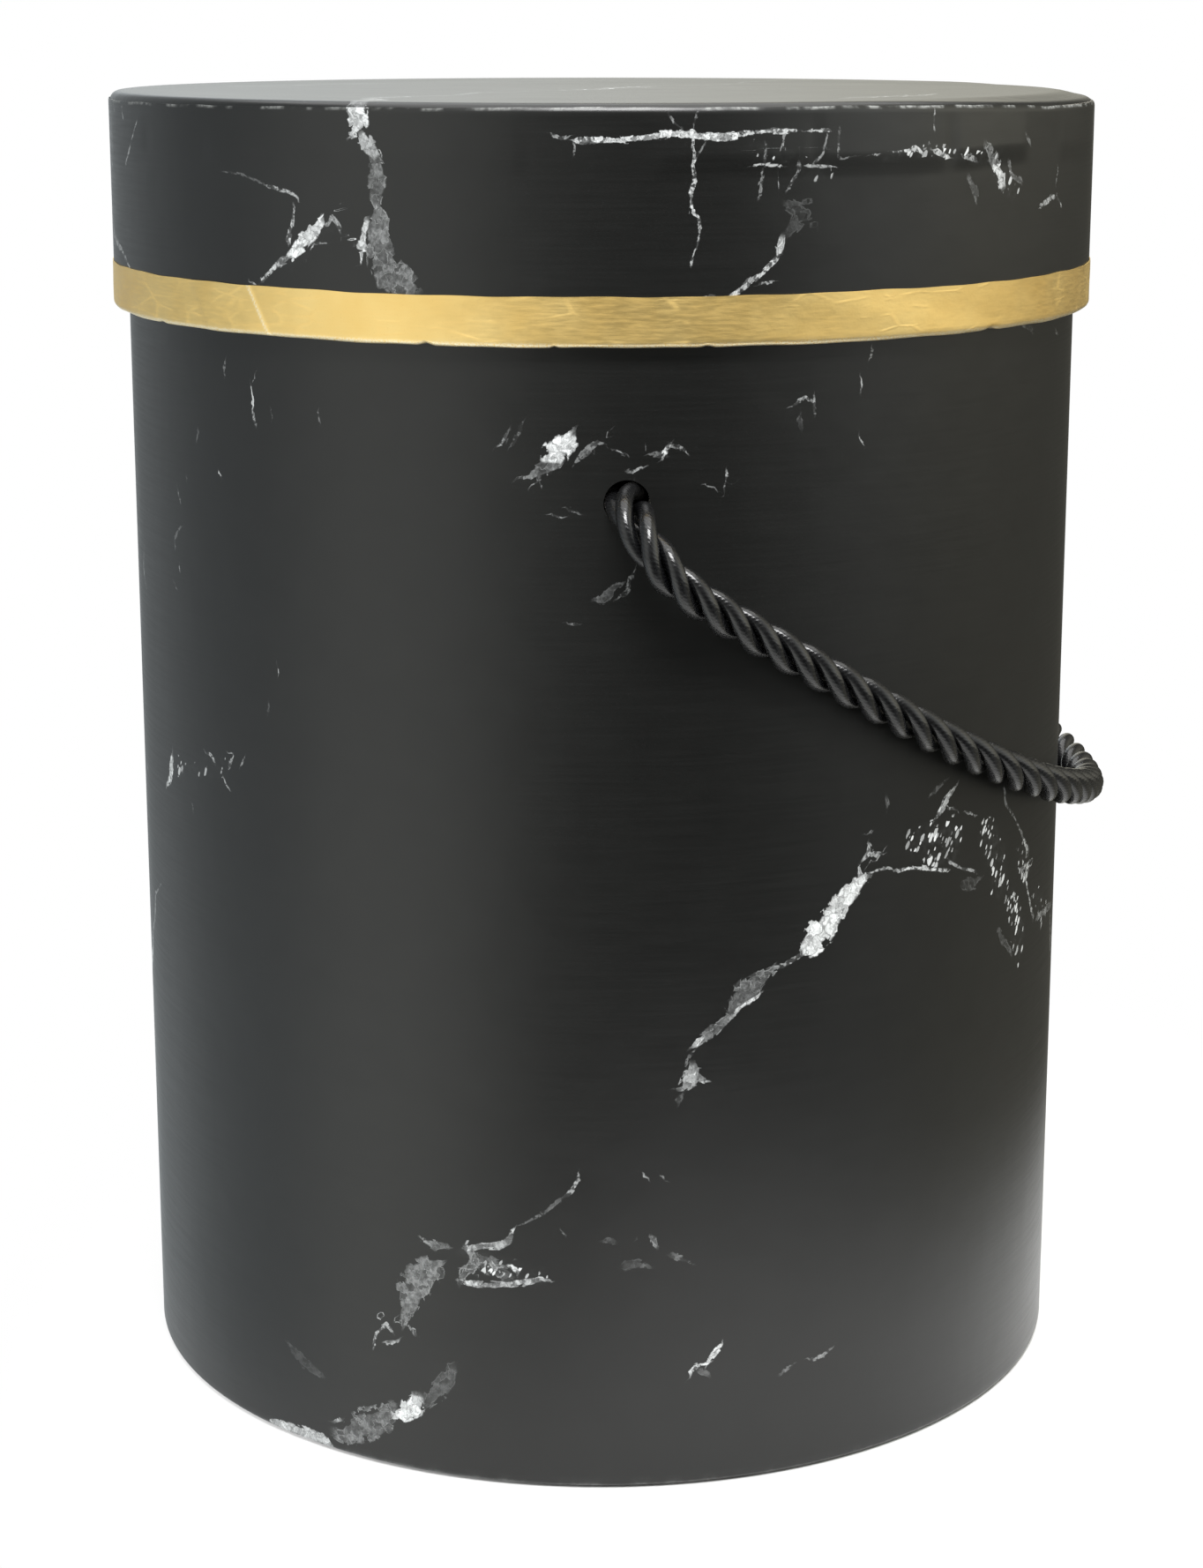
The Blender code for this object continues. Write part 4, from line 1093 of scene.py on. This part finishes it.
def build_box(cutter):
    outer = BODY_RADIUS - PAPER / 2
    under = body_low.z + PAPER / 2
    over = BODY_TOP - PAPER / 2
    prints = [wall_print(marks, body_low.z, BODY_TOP, BODY_RADIUS) for marks in (BODY_VEINS, BODY_SPECKS)]
    add_sheet(
        "marble_body_paper", "box", "body_wrap", "marble_paper",
        [(BODY_RADIUS - TURN_IN, under), (outer, under), (outer, over), (outer - RIM_FOLD, over),
         (outer - RIM_FOLD, over - TURN_IN)],
        thickness=PAPER, columns=460, place=round_wall(BODY_RADIUS, TURN_IN - PAPER / 2 - under),
        spacing=0.00125, corner=0.0008, steps=cut_at(BODY_LAP), cutter=cutter,
        relief=body_relief, prints=prints, wear_and_sheen=body_rim_wear_and_foot_sheen,
    )

    low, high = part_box("body_wall")
    middle = high.x - BODY_BOARD / 2
    add_board(
        "board_wall", "box", "body_wall", [(middle, low.z), (middle, high.z)],
        thickness=BODY_BOARD, place=round_wall(high.x), bevel=0.0006, cutter=cutter,
    )

    low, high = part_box("body_lining")
    middle = high.x - PAPER / 2
    add_sheet(
        "inside_lining_paper", "box", "body_lining", "lining_paper",
        [(middle, high.z), (middle, low.z)], thickness=PAPER, columns=216, place=round_wall(high.x),
        steps=cut_at(LINING_LAP), cutter=cutter, relief=lining_relief,
    )

    low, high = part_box("base_lining")
    middle = high.z - PAPER / 2
    add_sheet(
        "floor_lining_paper", "box", "base_lining", "lining_paper",
        [(high.x, middle), (0.0, middle)], thickness=PAPER, columns=180, place=disc_inwards,
        relief=floor_relief,
    )

    low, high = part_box("base_cover")
    add_sheet(
        "bottom_cover_paper", "box", "base_cover", "base_paper",
        [(0.0, PAPER / 2), (high.x, PAPER / 2)], thickness=PAPER, columns=180, place=disc_outwards,
        relief=cover_relief,
    )
    give_material("base_board", "greyboard")


# ---------------------------------------------------------------- the lid

def pressed_down(bearing):
    """How far the lid's upper corner is pressed down at each bearing."""
    degrees = np.degrees(bearing)
    return PRESSED_DEPTH * smoothstep(degrees, *PRESSED_FROM) * (1 - smoothstep(degrees, *PRESSED_TO))


def pressed_board(middle):
    """The board's part above that height: a little lower than the paper, and pressed down with it."""
    def relief(bearing, out, up):
        return np.zeros_like(up), np.where(up > middle, -(BOARD_CLEARANCE + pressed_down(bearing)), 0.0)

    return relief


def top_relief(bearing, out, up):
    """The wide top paper isn't quite flat."""
    share = out / LID_RADIUS
    hollow = 0.00035 * (1.0 - share ** 2) + 0.0001
    ripple = 0.00012 * wave(bearing + out * 30.0, (2, 3, 5), 2.2) * share
    inner = (1.0 - smoothstep(share, 0.80, 0.97)) * (up > LID_TOP - 0.0008)
    near_edge = smoothstep(out, LID_RADIUS - 0.0075, LID_RADIUS - 0.0010)
    near_top = smoothstep(up, LID_TOP - 0.0060, LID_TOP - LID_CORNER)
    return np.zeros_like(up), -inner * (hollow + ripple) - pressed_down(bearing) * near_edge * near_top


def strip_edge_drop(bearing):
    """How far the strip's cut edge lies below the lid's top at each bearing."""
    bearings, drops = zip(*STRIP_EDGE)
    even = np.interp(np.degrees(bearing), bearings, drops) * MM
    return even + 0.00015 * (1 + wave(bearing, (7, 13, 29, 53), 1.9))


def strip_relief(bearing, out, up):
    """The tabs show through, and the cut edge wanders where the strip bends over the corner."""
    degrees = np.degrees(bearing)
    rise = 0.00005 * wave(bearing + up * 6.0, (6, 11, 17), 0.9)
    depth = TAB_DEPTH + 0.0006 * wave(bearing, (4, 9), 0.4)
    down = (LID_TOP - up) / depth
    over_tab = np.clip(down, 0.0, 1.0) * (1.0 - smoothstep(down, 0.95, 1.50))
    for start, end, lower_edge in TABS:
        start, end = (start + 180) % 360 - 180, (end + 180) % 360 - 180
        rise = rise + between_bearings(degrees, start, end, 0.4) * over_tab * lower_edge * MM
    highest = LID_TOP - STRIP_HIGH
    squeeze = strip_edge_drop(bearing) - STRIP_HIGH
    squeeze = squeeze * smoothstep(up, LID_TOP - 0.0060, highest)
    into_corner = up - squeeze - (LID_TOP - pressed_down(bearing) - LID_CORNER)
    into_corner = np.clip(into_corner, 0.0, LID_CORNER)
    bend = LID_CORNER - np.sqrt(LID_CORNER ** 2 - into_corner ** 2)
    return rise - np.minimum(bend, 0.5 * LID_CORNER), -squeeze


def strip_wear(bearing, out, up):
    """The strip's cut edge shows the paper's white core, more so on the right."""
    edge = LID_TOP - strip_edge_drop(bearing)
    amount = 0.55 + 0.45 * smoothstep(np.degrees(bearing), -30.0, 30.0)
    return amount * smoothstep(up, edge - 0.00050, edge - 0.00015)


def rim_lining_relief(bearing, out, up):
    """The rim lining's overlap stands inwards, and its lower edge isn't quite level."""
    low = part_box("lid_rim_lining")[0]
    hem = 0.00015 * wave(bearing, (6, 13), 1.0) * (up < low.z + 0.002)
    return -0.8 * THIN_PAPER * lap(bearing, LID_LINING_LAP), hem


def disc_lining_relief(bearing, out, up):
    """The disc isn't pressed quite flat to the lid."""
    return np.zeros_like(up), -0.00008 * swell(bearing + out * 40.0, (2, 5, 7), 0.3)


def build_lid():
    half = THIN_PAPER / 2
    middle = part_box("lid_top_paper")[1].x - half
    add_sheet(
        "lid_top_marble_paper", "lid", "lid_top_paper", "marble_paper",
        [(middle, LID_TOP - TAB_LENGTH), (middle, LID_TOP - half), (0.0, LID_TOP - half)],
        thickness=THIN_PAPER, columns=360, place=disc_inwards, spacing=0.0012, corner=LID_CORNER,
        relief=top_relief, prints=(TOP_VEINS, TOP_SPECKS),
    )

    middle = LID_RADIUS - half
    foot = LID_BOTTOM + STRIP_LOW
    prints = [wall_print(marks, LID_BOTTOM, LID_TOP, LID_RADIUS) for marks in (LID_VEINS, LID_SPECKS)]
    add_sheet(
        "lid_rim_marble_strip", "lid", "lid_rim_wrap", "marble_paper",
        [(middle, foot), (middle, LID_TOP - STRIP_HIGH)], thickness=THIN_PAPER, columns=480,
        place=round_wall(LID_RADIUS, -foot), spacing=0.0003, relief=strip_relief, prints=prints,
        wear_and_sheen=strip_wear,
    )

    build_gold_band()

    low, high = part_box("lid_rim")
    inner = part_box("lid_rim_lining")[1].x + LINING_GAP
    middle = (inner + high.x) / 2
    add_board(
        "board_lid_rim", "lid", "lid_rim", [(middle, low.z), (middle, high.z)],
        thickness=high.x - inner, place=round_wall(LID_RADIUS), bevel=0.0005,
        relief=pressed_board((low.z + high.z) / 2),
    )

    low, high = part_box("lid_board")
    middle = (low.z + high.z) / 2
    add_board(
        "board_lid_top", "lid", "lid_board", [(high.x, middle), (0.0, middle)],
        thickness=high.z - low.z, place=disc_inwards, bevel=0.0009, relief=pressed_board(middle),
    )

    low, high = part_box("lid_rim_lining")
    middle = high.x - half
    add_sheet(
        "lid_inside_rim_lining", "lid", "lid_rim_lining", "lining_paper",
        [(middle, high.z), (middle, low.z)], thickness=THIN_PAPER, columns=216,
        place=round_wall(high.x), spacing=0.003, steps=cut_at(LID_LINING_LAP), relief=rim_lining_relief,
    )

    low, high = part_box("lid_lining_disc")
    middle = low.z + half
    add_sheet(
        "lid_inside_disc_lining", "lid", "lid_lining_disc", "lining_paper",
        [(0.0, middle), (high.x, middle)], thickness=THIN_PAPER, columns=180, place=disc_outwards,
        relief=disc_lining_relief,
    )


def past_ribbon_end(bearing, up):
    """Degrees from the foil's slanting cut end, less than 0 where it laps over its own start."""
    share = np.clip((band_high.z - up) / (band_high.z - LID_BOTTOM), 0.0, 1.0)
    return np.degrees(bearing) - (RIBBON_END[0] + share * (RIBBON_END[1] - RIBBON_END[0]))


def band_relief(bearing, out, up):
    """The foil's overlap with its raised end, its creases, and its nicked and uneven edges."""
    degrees = np.degrees(bearing)
    past = past_ribbon_end(bearing, up)
    half_lap = RIBBON_LAP / 2
    layer = FOIL * (1 - smoothstep(np.abs(past + half_lap), half_lap - 0.4, half_lap))
    ridge = 0.00014 * np.exp(-((past / 0.22) ** 2))
    creased = smoothstep(degrees, -42.0, -38.0) * (1 - smoothstep(degrees, -14.0, 20.0))
    crumple = 0.00005 * creased * wave(bearing + up * 900.0, (23, 41, 67), 0.8)
    soft = 0.00006 * wave(bearing + up * 40.0, (7, 12, 19), 1.4)
    on_wall = smoothstep(out, band_high.x - FOIL / 2 - 0.0012, band_high.x - FOIL / 2 - 0.0004)

    low = 1 - smoothstep(up, LID_BOTTOM + 0.0002, LID_BOTTOM + 0.0016)
    top = smoothstep(up, band_high.z - 0.002, band_high.z)
    nicks = sum(deep * MM * np.exp(-(((degrees - at) / width) ** 2)) for at, width, deep in BAND_NICKS)
    hem = 0.00012 * wave(bearing, (9, 21, 38), 0.2)
    ragged = 0.00018 * wave(bearing, (5, 11, 23, 47), 2.6)
    return on_wall * (layer + ridge + crumple + soft), (nicks + hem) * low + ragged * top


def band_painted_highlight(bearing, out, up):
    """Painted highlight: the foil is made bright along its lower fold and its raised end, where those edges
    catch the light.
    """
    # painted highlight along the lower fold, and along the raised cut end below
    fold = 1 - smoothstep(up, LID_BOTTOM + 0.0003, LID_BOTTOM + 0.0011)
    ridge = np.exp(-((past_ribbon_end(bearing, up) / 0.14) ** 2))
    return 0.8 * np.maximum(fold, ridge)


def build_gold_band():
    """Gold foil folded round the lid's lower edge, creased and nicked along the fold."""
    middle = band_high.x - FOIL / 2
    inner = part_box("lid_rim_lining")[1].x + LINING_GAP
    under = LID_BOTTOM + FOIL / 2
    add_sheet(
        "gold_foil_band", "lid", "gold_band", "gold_foil",
        [(inner, under), (middle, under), (middle, band_high.z)], thickness=FOIL, columns=720,
        place=round_wall(middle, middle - inner - LID_BOTTOM), spacing=0.0006, corner=FOIL_CORNER,
        steps=np.arange(RIBBON_END[0] - 1.0, RIBBON_END[1] + 1.0, 0.1),
        relief=band_relief, wear_and_sheen=band_painted_highlight,
    )


# ---------------------------------------------------------------- the cord

def smooth_route(points):
    """Points read closely along a smooth curve that passes through every route point."""
    knots = [0.0]
    for a, b in zip(points, points[1:]):
        knots.append(knots[-1] + math.sqrt((b - a).length))
    control = [points[0] * 2 - points[1], *points, points[-1] * 2 - points[-2]]
    times = [2 * knots[0] - knots[1], *knots, 2 * knots[-1] - knots[-2]]
    line = []
    for i in range(1, len(control) - 2):
        for step in range(CURVE_STEPS):
            now = times[i] + (times[i + 1] - times[i]) * step / CURVE_STEPS
            line.append(between(control[i - 1 : i + 3], times[i - 1 : i + 3], now))
    line.append(points[-1].copy())
    return line


def between(points, times, now):
    """Barry and Goldman's evaluation of a Catmull-Rom curve through four points."""
    for reach in (1, 2):
        points = [
            a.lerp(b, (now - start) / (end - start))
            for a, b, start, end in zip(points, points[1:], times, times[reach:])
        ]
    start, end = times[1:3]
    return points[0].lerp(points[1], (now - start) / (end - start))


def cord_route():
    """The whole route, front hole to rear hole."""
    front = []
    for bearing, radius, rise in CORD_HALF_ROUTE:
        angle = math.radians(bearing)
        front.append(Vector((radius * math.sin(angle), -radius * math.cos(angle), HOLE_HEIGHT + rise)))
    return front + [Vector((p.x, -p.y, p.z)) for p in reversed(front[:-1])]


def resampled(line, spacing):
    """The line's points at an even spacing, and the distance of each along it."""
    lengths = distances_along(line)
    wanted = np.linspace(0.0, lengths[-1], max(2, round(lengths[-1] / spacing)) + 1)
    points = np.array([np.interp(wanted, lengths, [p[i] for p in line]) for i in range(3)]).T
    return points, wanted


def unit(vectors):
    return vectors / np.linalg.norm(vectors, axis=-1, keepdims=True)


def square_to(vectors, directions):
    """The vectors' parts square to those directions, as unit vectors."""
    return unit(vectors - directions * np.sum(vectors * directions, axis=-1, keepdims=True))


def carried_frames(points):
    """Two directions across the line, carried along it without twisting."""
    along = unit(np.gradient(points, axis=0))
    across = [square_to(np.array((0.0, 0.0, 1.0)), along[0])]
    for direction in along[1:]:
        across.append(square_to(across[-1], direction))
    return np.array(across), np.cross(along, across)


def rope_mesh(name, line, loose_length=None, scale=1.0):
    """Three round strands laid right-handed round the line, each a closed tube.

    The strands are opened up over the loose length at both ends.
    """
    points, runs = resampled(line, RING_SPACING)
    count = len(runs)
    across, up = carried_frames(points)
    loose = np.zeros_like(runs)
    if loose_length is not None:
        loose = 1.0 - smoothstep(np.minimum(runs, runs[-1] - runs), 0.3 * loose_length, loose_length)
    lay = (LAY + (LAY_AT_HOLE - LAY) * loose) * scale
    offset = (STRAND_OFFSET + (STRAND_OFFSET_AT_HOLE - STRAND_OFFSET) * loose) * scale
    turn = np.concatenate([[0.0], np.cumsum(math.tau * np.diff(runs) / lay[1:])])
    radius = STRAND_RADIUS * scale
    vertices, faces, places = [], [], []
    for strand in range(STRANDS):
        angle = turn + math.tau * strand / STRANDS + FIRST_STRAND
        out = across * np.cos(angle)[:, None] + up * np.sin(angle)[:, None]
        breathing = 1.0 + 0.03 * np.sin(runs / 0.0071 + 2.1 * strand)
        centre = points + out * (offset * breathing)[:, None]
        forward = unit(np.gradient(centre, axis=0))
        outward = square_to(out, forward)
        sideways = np.cross(forward, outward)
        strand_runs = distances_along(centre)
        first = len(vertices)
        for side in range(STRAND_SIDES + 1):
            around = math.tau * side / STRAND_SIDES
            ring = centre + radius * (outward * math.cos(around) + sideways * math.sin(around))
            vertices.extend(ring.tolist())
            places.extend(zip([radius * around] * count, strand_runs))
        for side in range(STRAND_SIDES):
            a = first + side * count
            b = a + count
            faces.extend((a + i, a + i + 1, b + i + 1, b + i) for i in range(count - 1))
        for end in (0, count - 1):
            faces.append([first + side * count + end for side in range(STRAND_SIDES)])
    mesh = bpy.data.meshes.new(name)
    mesh.from_pydata(vertices, [], faces)
    uv = mesh.uv_layers.new(name="paper")
    corners = np.array([places[loop.vertex_index] for loop in mesh.loops], np.float32)
    uv.data.foreach_set("uv", corners.reshape(-1))
    weld(mesh)
    return mesh, points


def knot_route(label, side):
    """From the hole through an overhand knot drawn up against the lining, then down the tail."""
    low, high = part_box(f"{label}_knot")
    tail_low, tail_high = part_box(f"{label}_cord_tail")
    rope = CORD_RADIUS * KNOT_SCALE
    room = (high.x - low.x) / 2 - rope
    depth = (high.y - low.y) / 2 - rope
    points = [Vector((0.0, side * CORD_HALF_ROUTE[0][1], HOLE_HEIGHT))]
    for step in range(KNOT_STEPS + 1):
        t = math.pi / 3 + (math.tau - math.pi / 2.6) * step / KNOT_STEPS
        reach = room * (0.66 + 0.34 * math.cos(3 * t))
        turn = 2 * t + 0.7
        y = (low.y + high.y) / 2 + depth * math.sin(3 * t)
        points.append(Vector((reach * math.cos(turn), y, HOLE_HEIGHT - reach * math.sin(turn))))
    for share in (0.25, 0.6, 1.0):
        y = (tail_low.y + tail_high.y) / 2
        points.append(Vector((0.0, y, tail_high.z + share * (tail_low.z - tail_high.z))))
    return points


def build_handle():
    name = "twisted_cord_handle"
    mesh, points = rope_mesh(name, smooth_route(cord_route()), LOOSE_LENGTH)
    cord = add_piece(name, mesh, "satin_cord", CORD_SHARP_ANGLE)
    stand_for(cord, "handle", "satin_cord", "handle_cord")

    companions = []
    for label, side in (("front", -1), ("rear", 1)):
        name = f"{label}_knotted_end"
        mesh, _ = rope_mesh(name, smooth_route(knot_route(label, side)), scale=KNOT_SCALE)
        knot = add_piece(name, mesh, "satin_cord", CORD_SHARP_ANGLE)
        stand_for(knot, "handle", "satin_cord", f"{label}_knot", f"{label}_cord_tail")
        companions += [knot, give_material(f"{label}_end_tape", "clear_tape")]


# ---------------------------------------------------------------- studio

def add_camera():
    data = bpy.data.cameras.new("camera")
    data.lens = CAMERA_LENS
    data.shift_y = CAMERA_SHIFT
    data.clip_start = 0.01
    camera = add_object("camera", data)
    camera.location = (
        CAMERA_DISTANCE * math.sin(CAMERA_BEARING),
        -CAMERA_DISTANCE * math.cos(CAMERA_BEARING),
        CAMERA_HEIGHT,
    )
    camera.rotation_euler = (math.pi / 2 - CAMERA_PITCH, 0.0, CAMERA_BEARING)
    bpy.context.scene.camera = camera


def add_floor():
    """A pale floor that is whole under the box and fades away into the studio round it."""
    made = bmesh.new()
    bmesh.ops.create_circle(made, cap_ends=True, segments=96, radius=FLOOR_FADE[1] + 0.1)
    mesh = bpy.data.meshes.new("studio_floor")
    made.to_mesh(mesh)
    made.free()
    shader = Shader(
        "studio_floor", Base_Color=(FLOOR_GREY, FLOOR_GREY, FLOOR_GREY, 1.0), Roughness=0.9,
        Specular_IOR_Level=0.1,
    )
    place = shader.node("TexCoord").outputs["Object"]
    moved = shader.scaled(shader.vector_math("SUBTRACT", place, FLOOR_CENTRE), FLOOR_SQUEEZE)
    away = shader.node("VectorMath", {0: moved}, operation="LENGTH").outputs["Value"]
    mesh.materials.append(shader.finish(Alpha=shader.remap(away, *FLOOR_FADE, 1.0, 0.0)))
    add_object("studio_floor", mesh)


def add_area_light(name, bearing, distance, height, aim_height, size, power):
    data = bpy.data.lights.new(name, "AREA")
    data.shape = "RECTANGLE"
    data.size, data.size_y = size
    data.energy = power
    light = add_object(name, data)
    angle = math.radians(bearing)
    light.location = (distance * math.sin(angle), -distance * math.cos(angle), height)
    toward = Vector((0.0, 0.0, aim_height)) - light.location
    light.rotation_euler = toward.to_track_quat("-Z", "Y").to_euler()
    light.visible_camera = False


def add_walls():
    """The studio round the box. The camera itself sees plain white behind the box."""
    world = bpy.data.worlds.new("studio")
    bpy.context.scene.world = world
    world.use_nodes = True
    studio = Nodes(world.node_tree)
    x, y, z = studio.parts(studio.node("TexCoord").outputs["Generated"])
    bearing = studio.math("ARCTAN2", x, studio.times(y, -1.0))
    share = studio.math("MULTIPLY_ADD", bearing, 1 / math.tau, 0.5)
    peak = max(max(low, high) for _, low, high, _ in WALLS) * 1.05

    def ring_of_walls(at_eye_level):
        ramp = studio.node("ValToRGB", {0: share})
        stops = ramp.color_ramp.elements
        while len(stops) < len(WALLS):
            stops.new(0.5)
        for stop, (angle, low, high, tint) in zip(stops, WALLS):
            level = high if at_eye_level else low
            stop.position = angle / 360 + 0.5
            stop.color = (*(level / peak * part for part in tint), 1.0)
        return ramp.outputs[0]

    walls = studio.blend(studio.remap(z, *FLOOR_TO_EYE), ring_of_walls(False), ring_of_walls(True))
    by_height = studio.times(studio.remap(z, *OVERHEAD), studio.remap(z, *UNDERFOOT))
    level = studio.times(by_height, peak)
    lit = studio.node("VectorMath", {0: walls, "Scale": level}, operation="SCALE").outputs[0]
    seen_directly = studio.node("LightPath").outputs["Is Camera Ray"]
    seen = studio.blend(seen_directly, lit, (1.0, 1.0, 1.0))
    studio.feed(studio.tree.nodes["Background"].inputs["Color"], seen)


def build_studio():
    add_camera()
    add_floor()
    add_walls()
    add_area_light(
        "overhead_softbox", bearing=180, distance=0.15, height=1.5, aim_height=0.0,
        size=(1.8, 1.8), power=24.0,
    )
    add_area_light(
        "front_softbox", bearing=2, distance=1.0, height=1.33, aim_height=0.12,
        size=(0.7, 0.45), power=29.0,
    )
    bpy.context.scene.view_settings.view_transform = "Standard"


def main():
    build_studio()
    build_handle()
    cutter = hole_cutter()
    build_box(cutter)
    bpy.data.objects.remove(cutter)
    build_lid()


main()
